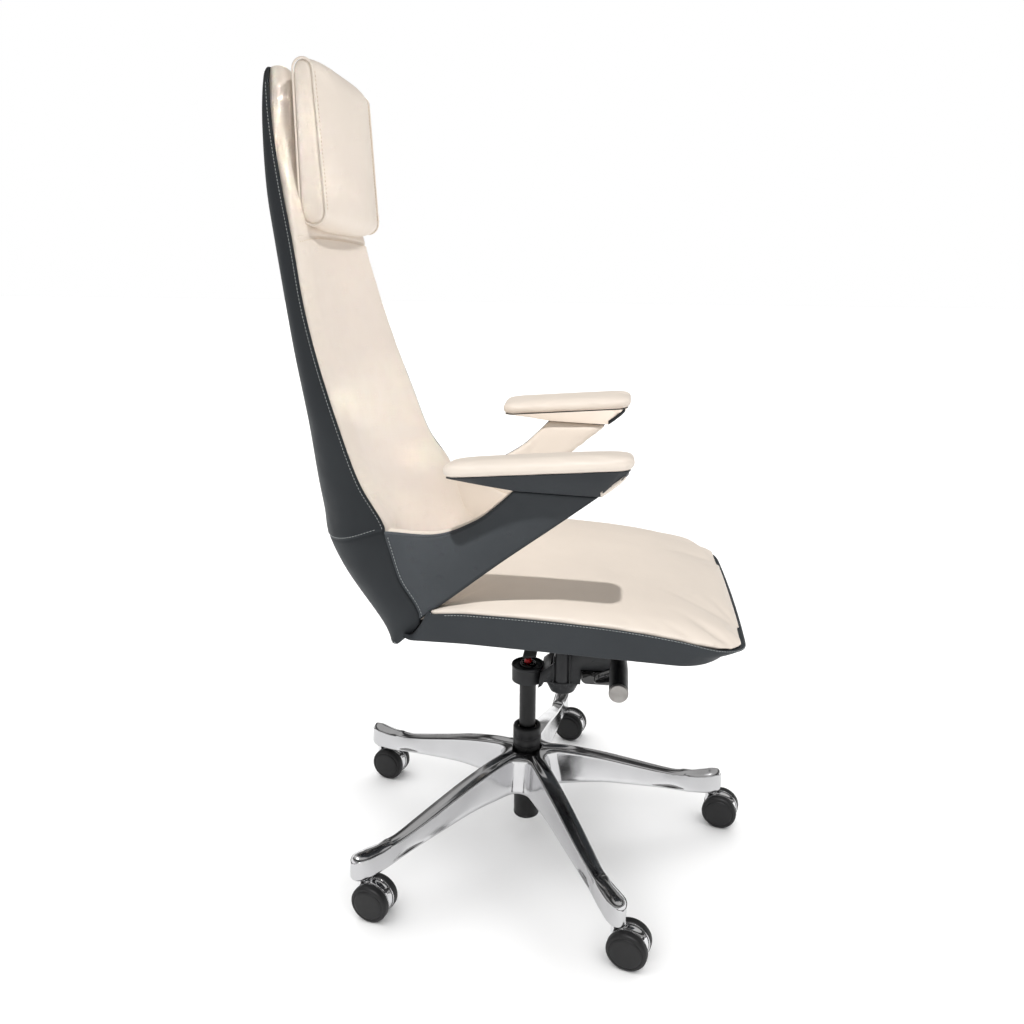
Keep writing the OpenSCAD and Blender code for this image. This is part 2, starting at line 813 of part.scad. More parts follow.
module arm_pad_right() {
    ring = function (inset, rise)
        [for (p = rounded(pad_w / 2 - inset, pad_l / 2 - inset, 22 - min(inset, 14)))
            [p[0] - pad_x, p[1] + pad_y, pad_under(p[0] - pad_x, p[1] + pad_y) + rise]];
    color("#efe4d3") loft([
        ring(6, 0), ring(1.5, 2), ring(0, 6), ring(0, pad_t - 7),
        ring(4, pad_t - 2.5), ring(14, pad_t)
    ]);
}

// ---- headrest ----

module headrest() {
    lean = 0.09;
    ring = function (inset, forward)
        [for (p = rounded(headrest_w / 2 - inset, headrest_h / 2 - inset, 34 - min(inset, 20)))
            [p[0], headrest_rear - forward + lean * p[1] * forward / headrest_t, headrest_z + p[1]]];
    color("#efe4d3") loft([
        ring(16, 0), ring(3, 4), ring(0, 8), ring(0, 30),
        ring(5, 36), ring(24, headrest_t), ring(70, headrest_t + 2)
    ]);
}

module headrest_mounts() {
    color("#2e2f31") for (x = [-55, 55]) translate([x, headrest_rear, headrest_z]) rotate([-90, 0, 0])
        cylinder(d = 22, h = 8);
}

// ---- assembly ----

module left_of() {
    mirror([1, 0, 0]) children();
}

base_star();
caster_stems();
caster_hood(1);  // caster_hood_1
caster_hood(2);  // caster_hood_2
caster_hood(3);  // caster_hood_3
caster_hood(4);  // caster_hood_4
caster_hood(5);  // caster_hood_5
caster_axle(1);  // caster_axle_1
caster_axle(2);  // caster_axle_2
caster_axle(3);  // caster_axle_3
caster_axle(4);  // caster_axle_4
caster_axle(5);  // caster_axle_5
caster_wheels(1);  // caster_wheels_1
caster_wheels(2);  // caster_wheels_2
caster_wheels(3);  // caster_wheels_3
caster_wheels(4);  // caster_wheels_4
caster_wheels(5);  // caster_wheels_5
outer_tube();
column_collar();
guide_bush();
thrust_bearing();
piston_rod();
retaining_clip();
gas_cylinder();
valve_button();
mechanism_housing();
front_cover();
tilt_axle();
tilt_spring();
tension_screw();
tension_knob();
lock_rod();
lever_grip();
lever_end_cap();
valve_lever();
seat_bracket();
seat_shell();
seat_board();
seat_cushion();
seat_bolts();
back_bars();
back_bolts();
back_board();
back_shell();
back_pad();
wing_shell_right();
left_of() wing_shell_right();  // wing_shell_left
wing_lining_right();
left_of() wing_lining_right();  // wing_lining_left
bracket_outer_right();
left_of() bracket_outer_right();  // bracket_outer_left
bracket_inner_right();
left_of() bracket_inner_right();  // bracket_inner_left
arm_pad_right();
left_of() arm_pad_right();  // arm_pad_left
headrest();
headrest_mounts();
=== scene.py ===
"""Looks of the swivel office chair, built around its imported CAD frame.

Shapes are worked out in millimetres in the row frame and turned into metres by shape().
"""

import json
import math

import bmesh
import bpy
import numpy as np
from mathutils import Matrix, Vector
from mathutils.bvhtree import BVHTree

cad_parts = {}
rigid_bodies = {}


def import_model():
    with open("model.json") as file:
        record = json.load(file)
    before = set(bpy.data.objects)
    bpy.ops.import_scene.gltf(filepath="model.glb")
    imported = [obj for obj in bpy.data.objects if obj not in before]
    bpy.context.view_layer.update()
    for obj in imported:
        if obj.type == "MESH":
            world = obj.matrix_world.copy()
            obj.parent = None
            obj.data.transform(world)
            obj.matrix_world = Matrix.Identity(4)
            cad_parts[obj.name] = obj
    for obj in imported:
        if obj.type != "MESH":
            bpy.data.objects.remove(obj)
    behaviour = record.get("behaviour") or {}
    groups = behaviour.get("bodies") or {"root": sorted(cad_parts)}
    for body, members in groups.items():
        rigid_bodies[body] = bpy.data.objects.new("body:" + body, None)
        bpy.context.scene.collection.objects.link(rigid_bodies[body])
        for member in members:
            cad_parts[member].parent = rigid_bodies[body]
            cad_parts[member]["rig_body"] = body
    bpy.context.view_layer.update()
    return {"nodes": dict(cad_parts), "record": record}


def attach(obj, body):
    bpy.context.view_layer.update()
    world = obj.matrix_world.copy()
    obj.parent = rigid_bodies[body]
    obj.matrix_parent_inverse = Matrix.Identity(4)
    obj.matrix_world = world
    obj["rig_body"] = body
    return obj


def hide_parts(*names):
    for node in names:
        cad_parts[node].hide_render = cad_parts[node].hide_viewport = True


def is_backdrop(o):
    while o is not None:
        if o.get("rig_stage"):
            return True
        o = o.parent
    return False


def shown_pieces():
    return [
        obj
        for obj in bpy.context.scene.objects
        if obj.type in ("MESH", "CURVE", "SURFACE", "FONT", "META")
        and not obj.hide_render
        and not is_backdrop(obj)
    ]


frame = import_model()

MM = 0.001


# ---------------------------------------------------------------- numbers shared with the CAD

# height, half width, front edge of the side, rear face at the middle
BACK_ROWS = [
    [442, 227, 163, 183], [484, 238, 127, 229], [544, 240, 156, 271], [590, 238, 169, 294],
    [620, 232, 178, 298], [670, 224, 210, 303], [750, 219, 239, 309], [840, 206, 269, 323],
    [920, 190, 291, 336], [1000, 167, 307, 353], [1060, 151, 317, 363], [1140, 131, 327, 366],
    [1190, 120, 331, 362], [1218, 110, 334, 355],
]
BACK_BOTTOM, BACK_TOP, SHELL_T, PAD_BOTTOM, PAD_DISH = 442, 1218, 8, 476, 26

# share of the way from seam to tip, then x, y, z on the sitter's right; the soft edge hangs lower than the CAD's
WING_UPPER = [
    [0, -238, 173, 611], [0.3, -248, 100, 613], [0.6, -267, 44, 639], [0.82, -282, 12, 666], [1, -291, -10, 688],
]
WING_LOWER = [
    [0, -238, 127, 484], [0.2, -243, 84, 518], [0.5, -258, 10, 580], [0.78, -276, -62, 638], [1, -291, -118, 684],
]
WING_SHELL_T, WING_T, WING_BULGE, SEAM_LAP = 11, 30, 5, 2.5

# depth and height of the seat's stitched rim
RIM_ROWS = [[-329, 456], [-300, 464], [-230, 481], [-120, 495], [60, 504], [120, 500]]
SEAT_W, SEAT_FRONT, RIM_REAR, BASE_REAR = 504, -329, 117, 157
FRONT_CORNER, REAR_CORNER, RIM_T, SKIRT_FALL = 66, 12, 9, 0.05
SEAT_LOW, TRAY_Z, SEAT_CROWN, TILT_Y, TILT_Z = 446, 462, 14, -151, 372

# distance out, top, underside, half width of the top, half width of the underside
ARM_ROWS = [
    [30, 161, 96, 13, 21], [70, 155, 97, 14, 21], [130, 141, 95, 14, 19], [190, 123, 86, 13.5, 17.5],
    [236, 109, 77, 12.5, 15], [268, 101, 69, 11, 12.5], [298, 100, 64, 12.5, 13.5], [331, 101, 63, 14, 15],
    [342, 99, 63, 12, 13], [350, 93, 65, 5, 6],
]
STEM_R, FIRST_ARM, TUBE_R, WHEEL_R, TRAIL, CASTER_TURN = 331, -61, 22, 30, 20, -14
PAD_X, PAD_Y, PAD_W, PAD_L = 281, -39, 86, 238
PAD_REAR_Z, PAD_FRONT_Z, PAD_LEAN = 703.5, 721, 0.095
# depth and height of the front of a bracket's lower edge, and the x of its seam, foot and top on each side
BRACKET_FRONT = [(-117, 685), (-128, 693), (-140, 703), (-147, 710.5)]
BRACKET_SEAM, BRACKET_OUT, BRACKET_IN = -277.5, (-291, -313), (-261, -247)
REST_Z, REST_REAR, REST_W, REST_H = 1117, 311, 268, 216


# ---------------------------------------------------------------- small maths

def smooth(table, x, col=1):
    """Smooth curve through one column of a table, as in the CAD."""
    rows = len(table)
    i = 0
    while i < rows - 2 and x >= table[i + 1][0]:
        i += 1

    def slope(k):
        a, b = max(k - 1, 0), min(k + 1, rows - 1)
        return (table[b][col] - table[a][col]) / (table[b][0] - table[a][0])

    span = table[i + 1][0] - table[i][0]
    t = (x - table[i][0]) / span
    return (
        (2 * t**3 - 3 * t * t + 1) * table[i][col]
        + (t**3 - 2 * t * t + t) * span * slope(i)
        + (3 * t * t - 2 * t**3) * table[i + 1][col]
        + (t**3 - t * t) * span * slope(i + 1)
    )


def mix(a, b, t):
    return a + (b - a) * t


def step(a, b, x):
    """0 below a, 1 above b and smooth between them."""
    t = min(max((x - a) / (b - a), 0), 1)
    return t * t * (3 - 2 * t)


def spaced(a, b, count):
    return [mix(a, b, i / count) for i in range(count + 1)]


def evenly(path, gap, closed=False):
    """Points a fixed gap apart along a path."""
    p = np.array(path, float)
    if closed:
        p = np.vstack([p, p[:1]])
    run = np.concatenate([[0], np.cumsum(np.linalg.norm(np.diff(p, axis=0), axis=1))])
    count = max(2, round(run[-1] / gap))
    at = np.linspace(0, run[-1], count + 1)
    if closed:
        at = at[:-1]
    return np.stack([np.interp(at, run, p[:, k]) for k in range(3)], axis=1)


# ---------------------------------------------------------------- pieces

def finish_piece(obj, finish, body, stands_for=(), smooth_faces=True):
    """Gives a piece its material, the body that it rides on and the CAD nodes that it stands for."""
    obj.data.materials.clear()
    obj.data.materials.append(finish)
    if smooth_faces:
        obj.data.polygons.foreach_set("use_smooth", [True] * len(obj.data.polygons))
    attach(obj, body)
    if stands_for:
        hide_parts(*stands_for)
    return obj


def shape(name, points, faces):
    """A mesh object from points in millimetres, with its faces turned outwards."""
    mesh = bpy.data.meshes.new(name)
    mesh.from_pydata([tuple(float(v) * MM for v in p) for p in points], [], faces)
    obj = bpy.data.objects.new(name, mesh)
    bpy.context.scene.collection.objects.link(obj)
    edit = bmesh.new()
    edit.from_mesh(mesh)
    bmesh.ops.remove_doubles(edit, verts=edit.verts, dist=1e-6)
    bmesh.ops.recalc_face_normals(edit, faces=edit.faces)
    edit.to_mesh(mesh)
    edit.free()
    return obj


def loft(name, rings, caps=True):
    """Closed solid through rings with the same number of points."""
    n, m = len(rings[0]), len(rings)
    points = [p for ring in rings for p in ring]
    faces = [
        (i * n + j, i * n + (j + 1) % n, (i + 1) * n + (j + 1) % n, (i + 1) * n + j)
        for i in range(m - 1)
        for j in range(n)
    ]
    if caps:
        for row, base in ((rings[0], 0), (rings[-1], (m - 1) * n)):
            centre = len(points)
            points.append(np.mean(np.array(row, float), axis=0))
            faces += [(base + j, base + (j + 1) % n, centre) for j in range(n)]
    return shape(name, points, faces)


def lathe(name, profile, place, axis="X", sides=64, closed=True):
    """Turned piece: profile is (along, radius) points, about an axis through place."""
    rings = []
    for along, radius in profile:
        ring = []
        for k in range(sides):
            a = 2 * math.pi * k / sides
            c, s = radius * math.cos(a), radius * math.sin(a)
            x, y, z = {"X": (along, c, s), "Z": (c, s, along)}[axis]
            ring.append((place[0] + x, place[1] + y, place[2] + z))
        rings.append(ring)
    if closed:
        return loft(name, rings)
    return loft(name, rings + [rings[0]], caps=False)


def subdivide(obj, levels=1):
    """Adds a subdivision surface and applies it."""
    modifier = obj.modifiers.new("subdivision", "SUBSURF")
    modifier.levels = modifier.render_levels = levels
    modifier.boundary_smooth = "PRESERVE_CORNERS"
    return settle(obj)


def settle(obj):
    """Applies a piece's modifiers to its mesh."""
    graph = bpy.context.evaluated_depsgraph_get()
    graph.update()
    made = bpy.data.meshes.new_from_object(obj.evaluated_get(graph))
    obj.modifiers.clear()
    obj.data = made
    return obj


def coordinates(obj):
    co = np.zeros(len(obj.data.vertices) * 3)
    obj.data.vertices.foreach_get("co", co)
    return co.reshape(-1, 3)


def set_coordinates(obj, co):
    obj.data.vertices.foreach_set("co", np.asarray(co, float).ravel())
    obj.data.update()


def vertex_normals(obj):
    normals = np.zeros(len(obj.data.vertices) * 3)
    obj.data.vertex_normals.foreach_get("vector", normals)
    return normals.reshape(-1, 3)


def relax(obj, rounds, share=0.5):
    """Evens a mesh by moving each vertex towards the mean of its neighbours."""
    edges = np.array([tuple(e.vertices) for e in obj.data.edges])
    co = coordinates(obj)
    count = np.bincount(edges.ravel(), minlength=len(co))[:, None]
    for _ in range(rounds):
        total = np.zeros_like(co)
        np.add.at(total, edges[:, 0], co[edges[:, 1]])
        np.add.at(total, edges[:, 1], co[edges[:, 0]])
        co = co + share * (total / count - co)
    set_coordinates(obj, co)


def softened(node, name, finish, width=0.8, keep_angle=32):
    """Copy of a CAD node with its edges rounded over, which stands for the node."""
    source = frame["nodes"][node]
    mesh = source.data.copy()
    obj = bpy.data.objects.new(name, mesh)
    bpy.context.scene.collection.objects.link(obj)
    edit = bmesh.new()
    edit.from_mesh(mesh)
    bmesh.ops.remove_doubles(edit, verts=edit.verts, dist=2e-6)
    bmesh.ops.dissolve_limit(
        edit, angle_limit=math.radians(1.0), verts=edit.verts, edges=edit.edges
    )
    edit.to_mesh(mesh)
    edit.free()
    while mesh.attributes.get("custom_normal"):
        mesh.attributes.remove(mesh.attributes["custom_normal"])
    bevel = obj.modifiers.new("bevel", "BEVEL")
    bevel.width = width * MM
    bevel.segments = 2
    bevel.limit_method = "ANGLE"
    bevel.angle_limit = math.radians(keep_angle)
    bevel.harden_normals = True
    settle(obj)
    return finish_piece(obj, finish, source["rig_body"], [node])


# ---------------------------------------------------------------- soft goods

def stuffed(obj, voxel, cap, held=None, pressure=4.0, evened=3):
    """Turns a closed shape into a filled cover: a fine skin, blown up by cloth simulation, held where held() says.

    cap is how far, in millimetres, the skin may move.
    """
    remesh = obj.modifiers.new("skin", "REMESH")
    remesh.mode = "VOXEL"
    remesh.voxel_size = voxel * MM
    settle(obj)
    relax(obj, evened)
    start = coordinates(obj)
    if held is not None:
        group = obj.vertex_groups.new(name="held")
        for i, p in enumerate(start / MM):
            weight = held(*p)
            if weight > 0:
                group.add([i], weight, "REPLACE")
    cloth = obj.modifiers.new("cloth", "CLOTH")
    settings = cloth.settings
    settings.quality = 5
    settings.mass = 0.2
    settings.use_pressure = True
    settings.uniform_pressure_force = pressure
    settings.effector_weights.gravity = 0
    settings.tension_stiffness = settings.compression_stiffness = 20
    settings.shear_stiffness = 8
    settings.bending_stiffness = 0.6
    settings.tension_damping = settings.compression_damping = 8
    cloth.collision_settings.use_collision = False
    cloth.collision_settings.use_self_collision = False
    if held is not None:
        settings.vertex_group_mass = "held"
    scene = bpy.context.scene
    scene.frame_start, scene.frame_end = 1, 20
    for moment in range(1, 21):
        scene.frame_set(moment)
    graph = bpy.context.evaluated_depsgraph_get()
    made = obj.evaluated_get(graph).data
    blown = np.zeros(len(start) * 3)
    made.vertices.foreach_get("co", blown)
    obj.modifiers.clear()
    shift = blown.reshape(-1, 3) - start
    length = np.linalg.norm(shift, axis=1, keepdims=True) + 1e-12
    limit = cap * MM
    set_coordinates(obj, start + shift / length * limit * np.tanh(length / limit))
    scene.frame_set(1)
    relax(obj, 1)
    return subdivide(obj)


def press_seam(obj, path, depth, width):
    """Sinks a piece along a path, the way a sewn seam pulls the cover down. Path in millimetres."""
    path = evenly(path, 1.5)
    co = coordinates(obj) / MM
    low, high = path.min(0) - 3 * width, path.max(0) + 3 * width
    near = np.where(((co > low) & (co < high)).all(1))[0]
    if len(near) == 0:
        return
    gap = np.full(len(near), 1e9)
    for start in range(0, len(path), 64):
        part = path[start:start + 64]
        gap = np.minimum(gap, np.linalg.norm(co[near, None, :] - part[None], axis=2).min(1))
    normals = vertex_normals(obj)
    co[near] -= normals[near] * (depth * np.exp(-((gap / width) ** 2)))[:, None]
    set_coordinates(obj, co * MM)


def hugging(obj, path, lift=0.0):
    """Nearest points on a piece's surface, moved out by lift, with the surface's normals there."""
    tree = BVHTree.FromPolygons(
        [v.co for v in obj.data.vertices], [tuple(p.vertices) for p in obj.data.polygons]
    )
    points, normals = [], []
    for p in path:
        place, normal, _, _ = tree.find_nearest(Vector(p) * MM)
        points.append(np.array(place) / MM + np.array(normal) * lift)
        normals.append(np.array(normal))
    return np.array(points), np.array(normals)


def tube(name, path, radius, finish, body, closed=False, sides=8):
    """Round piping along a path."""
    path = np.array(path, float)
    n = len(path)
    ahead = np.roll(path, -1, axis=0) - np.roll(path, 1, axis=0)
    if not closed:
        ahead[0], ahead[-1] = path[1] - path[0], path[-1] - path[-2]
    ahead /= np.linalg.norm(ahead, axis=1, keepdims=True)
    side = np.cross(ahead[0], (0.3, 0.2, 1.0))
    rings = []
    for i in range(n):
        side = side - ahead[i] * np.dot(side, ahead[i])
        side /= np.linalg.norm(side)
        up = np.cross(ahead[i], side)
        size = radius if closed or 0 < i < n - 1 else radius * 0.5
        rings.append([
            path[i] + size * (math.cos(a) * side + math.sin(a) * up)
            for a in np.linspace(0, 2 * math.pi, sides, endpoint=False)
        ])
    if closed:
        rings.append(rings[0])
    return finish_piece(loft(name, rings, caps=not closed), finish, body)


def stitches(name, path, normals, finish, body, pitch=4.6, length=3.3, width=0.42):
    """Row of thread stitches that lies on a surface along a path."""
    path = np.array(path, float)
    run = np.concatenate([[0], np.cumsum(np.linalg.norm(np.diff(path, axis=0), axis=1))])
    points, faces = [], []
    sides = 6
    for k in range(int(run[-1] / pitch)):
        middle = (k + 0.5) * pitch
        at = [
            np.array([np.interp(middle + s * length / 2, run, path[:, c]) for c in range(3)])
            for s in (-1, 1)
        ]
        up = np.array([np.interp(middle, run, np.asarray(normals)[:, c]) for c in range(3)])
        along = at[1] - at[0]
        across = np.cross(along, up)
        if np.linalg.norm(across) < 1e-9:
            continue
        across /= np.linalg.norm(across)
        up /= np.linalg.norm(up)
        base = len(points)
        for share, size, lift in ((0, 0.35, -0.25), (0.18, 0.9, 0.1), (0.5, 1.0, 0.3), (0.82, 0.9, 0.1), (1, 0.35, -0.25)):
            centre = at[0] + along * share + up * lift
            for j in range(sides):
                a = 2 * math.pi * j / sides
                points.append(centre + size * width * (math.cos(a) * across + math.sin(a) * up))
        for i in range(4):
            for j in range(sides):
                a, b = base + i * sides + j, base + i * sides + (j + 1) % sides
                faces.append((a, b, b + sides, a + sides))
        faces.append(tuple(base + j for j in range(sides)))
        faces.append(tuple(base + 4 * sides + j for j in range(sides)))
    return finish_piece(shape(name, points, faces), finish, body)


# ---------------------------------------------------------------- materials

def linear(red, green, blue):
    """Scene colour from 0-255 screen values."""
    def channel(v):
        v /= 255
        return v / 12.92 if v <= 0.04045 else ((v + 0.055) / 1.055) ** 2.4
    return (channel(red), channel(green), channel(blue), 1.0)


class Shader:
    """A principled material with short ways to add the nodes that this script uses."""

    def __init__(self, name, colour, roughness, metallic=0.0):
        self.material = bpy.data.materials.new(name)
        self.material.use_nodes = True
        self.nodes = self.material.node_tree.nodes
        self.links = self.material.node_tree.links
        self.base = self.nodes["Principled BSDF"]
        self.base.inputs["Base Color"].default_value = colour
        self.base.inputs["Roughness"].default_value = roughness
        self.base.inputs["Metallic"].default_value = metallic
        self.place = self.nodes.new("ShaderNodeTexCoord").outputs["Object"]
        self.normal = None

    def stretched(self, x, y, z):
        """Object coordinates scaled by axis, for brushed or layered patterns."""
        mapping = self.nodes.new("ShaderNodeMapping")
        mapping.inputs["Scale"].default_value = (x, y, z)
        self.links.new(self.place, mapping.inputs["Vector"])
        return mapping.outputs["Vector"]

    def noise(self, scale, detail=3.0, place=None):
        node = self.nodes.new("ShaderNodeTexNoise")
        node.inputs["Scale"].default_value = scale
        node.inputs["Detail"].default_value = detail
        self.links.new(place or self.place, node.inputs["Vector"])
        return node.outputs["Fac"]

    def cells(self, scale, smoothness=0.35):
        node = self.nodes.new("ShaderNodeTexVoronoi")
        node.feature = "SMOOTH_F1"
        node.inputs["Scale"].default_value = scale
        node.inputs["Smoothness"].default_value = smoothness
        self.links.new(self.place, node.inputs["Vector"])
        return node.outputs["Distance"]

    def between(self, value, low, high, start=0.3, end=0.7):
        """Value spread from low to high."""
        node = self.nodes.new("ShaderNodeMapRange")
        for socket, number in (("From Min", start), ("From Max", end), ("To Min", low), ("To Max", high)):
            node.inputs[socket].default_value = number
        self.links.new(value, node.inputs["Value"])
        return node.outputs["Result"]

    def tint(self, value, first, second):
        """Colour that goes from first to second with value."""
        node = self.nodes.new("ShaderNodeMix")
        node.data_type = "RGBA"
        node.inputs["A"].default_value = first
        node.inputs["B"].default_value = second
        self.links.new(value, node.inputs["Factor"])
        return node.outputs["Result"]

    def colour(self, output):
        self.links.new(output, self.base.inputs["Base Color"])
        return self

    def roughness(self, output):
        self.links.new(output, self.base.inputs["Roughness"])
        return self

    def bump(self, height, strength, distance):
        """Adds a bump, in millimetres, on top of any earlier one."""
        node = self.nodes.new("ShaderNodeBump")
        node.inputs["Strength"].default_value = strength
        node.inputs["Distance"].default_value = distance * MM
        self.links.new(height, node.inputs["Height"])
        if self.normal:
            self.links.new(self.normal, node.inputs["Normal"])
        self.normal = node.outputs["Normal"]
        self.links.new(self.normal, self.base.inputs["Normal"])
        return self


def shaded(colour, factor):
    return (*[c * factor for c in colour[:3]], 1.0)


def leather(name, colour, roughness=0.46, grain=0.35, spread=0.05, specular=0.42):
    """Coated leather: fine pebble grain, faint creases, and slow changes of tone and gloss."""
    s = Shader(name, colour, roughness)
    s.base.inputs["Specular IOR Level"].default_value = specular
    s.base.inputs["Sheen Weight"].default_value = 0.05
    s.base.inputs["Sheen Roughness"].default_value = 0.4
    tone = s.noise(7, 4)
    s.colour(s.tint(s.between(tone, 0, 1), shaded(colour, 1 - spread), shaded(colour, 1 + spread)))
    s.roughness(s.between(s.noise(45, 5), roughness - 0.07, roughness + 0.07))
    s.bump(s.noise(38, 6), 0.25, 0.5)
    s.bump(s.cells(620), grain, 0.16)
    return s.bump(s.noise(2400, 2), 0.15, 0.05).material


def polished(name, colour, roughness, waves=0.35):
    """Hand-polished cast metal: near mirror, with slow waves and hairline marks."""
    s = Shader(name, colour, roughness, 1.0)
    s.colour(s.tint(s.between(s.noise(14, 3), 0, 1), shaded(colour, 0.93), shaded(colour, 1.04)))
    s.roughness(s.between(s.noise(30, 6), roughness * 0.7, roughness * 1.5))
    s.bump(s.noise(16, 2), waves, 1.2)
    return s.bump(s.noise(500, 4, s.stretched(1, 1, 6)), 0.05, 0.03).material


def moulded(name, colour, roughness, texture=0.25, scale=900):
    """Injection-moulded plastic or powder coat, with a fine stipple."""
    s = Shader(name, colour, roughness)
    s.base.inputs["Specular IOR Level"].default_value = 0.35
    s.colour(s.tint(s.between(s.noise(18, 4), 0, 1), shaded(colour, 0.9), shaded(colour, 1.12)))
    s.roughness(s.between(s.noise(60, 4), roughness - 0.05, roughness + 0.06))
    return s.bump(s.noise(scale, 3), texture, 0.12).material


def glossy(name, colour):
    """Glossy moulding with the faint flow marks of thin plastic."""
    s = Shader(name, colour, 0.08)
    s.base.inputs["Coat Weight"].default_value = 0.6
    s.base.inputs["Coat Roughness"].default_value = 0.04
    s.roughness(s.between(s.noise(40, 4), 0.05, 0.12))
    return s.bump(s.noise(30, 2), 0.12, 0.3).material


def turned_metal(name, colour, roughness):
    """Machined or drawn steel with fine rings along its length."""
    s = Shader(name, colour, roughness, 1.0)
    s.roughness(s.between(s.noise(60, 5), roughness * 0.8, roughness * 1.3))
    s.colour(s.tint(s.between(s.noise(25, 4), 0, 1), shaded(colour, 0.88), shaded(colour, 1.06)))
    return s.bump(s.noise(220, 4, s.stretched(0.4, 0.4, 9)), 0.12, 0.05).material


def ply(name):
    """Birch ply: light face with drawn-out grain."""
    light, dark = linear(214, 182, 138), linear(176, 138, 94)
    s = Shader(name, light, 0.6)
    grain = s.noise(60, 6, s.stretched(0.4, 6, 6))
    s.colour(s.tint(s.between(grain, 0, 1), light, dark))
    return s.bump(grain, 0.2, 0.2).material


CREAM = linear(227, 216, 204)
SLATE = linear(56, 59, 62)
cream = leather("cream_leather", CREAM, 0.48, 0.3, 0.02)
slate = leather("slate_leather", SLATE, 0.58, 0.4, 0.06, 0.12)
aluminium = polished("polished_aluminium", (0.57, 0.57, 0.58, 1), 0.13)
chrome = polished("caster_chrome", (0.78, 0.78, 0.79, 1), 0.08, 0.12)
cast_black = moulded("cast_black", linear(38, 39, 41), 0.5, 0.35, 700)
black_steel = moulded("black_steel", linear(14, 14, 15), 0.42, 0.15)
black_plastic = moulded("black_plastic", linear(26, 26, 28), 0.46, 0.25)
wheel_black = moulded("wheel_black", linear(28, 28, 29), 0.5, 0.3)
gloss_black = glossy("gloss_black_plastic", linear(10, 10, 11))
red_plastic = moulded("red_plastic", linear(190, 22, 30), 0.3, 0.1)
nylon = moulded("nylon", linear(226, 222, 210), 0.5, 0.15)
steel = turned_metal("steel", (0.55, 0.55, 0.56, 1), 0.28)
satin = turned_metal("satin_cap", (0.38, 0.365, 0.35, 1), 0.5)
plywood = ply("plywood")
thread = moulded("thread_grey", linear(158, 162, 162), 0.7, 0.5, 3000)
cream_thread = moulded("thread_cream", linear(214, 198, 176), 0.7, 0.5, 3000)

FINISHES = {
    "polished_aluminium": aluminium, "caster_chrome": chrome, "steel": steel, "black_steel": black_steel,
    "cast_black": cast_black, "black_plastic": black_plastic, "gloss_black_plastic": gloss_black,
    "wheel_black": wheel_black, "red_plastic": red_plastic, "nylon": nylon, "satin_cap": satin,
    "slate_leather": slate, "cream_leather": cream, "plywood": plywood,
}


def finish_cad_nodes():
    """Every CAD node gets the finish of its material slot in the record."""
    for part in frame["record"]["subparts"]:
        slots = frame["nodes"][part["node"]].data.materials
        slots.clear()
        slots.append(FINISHES[part["material_slot"]])


# ---------------------------------------------------------------- base

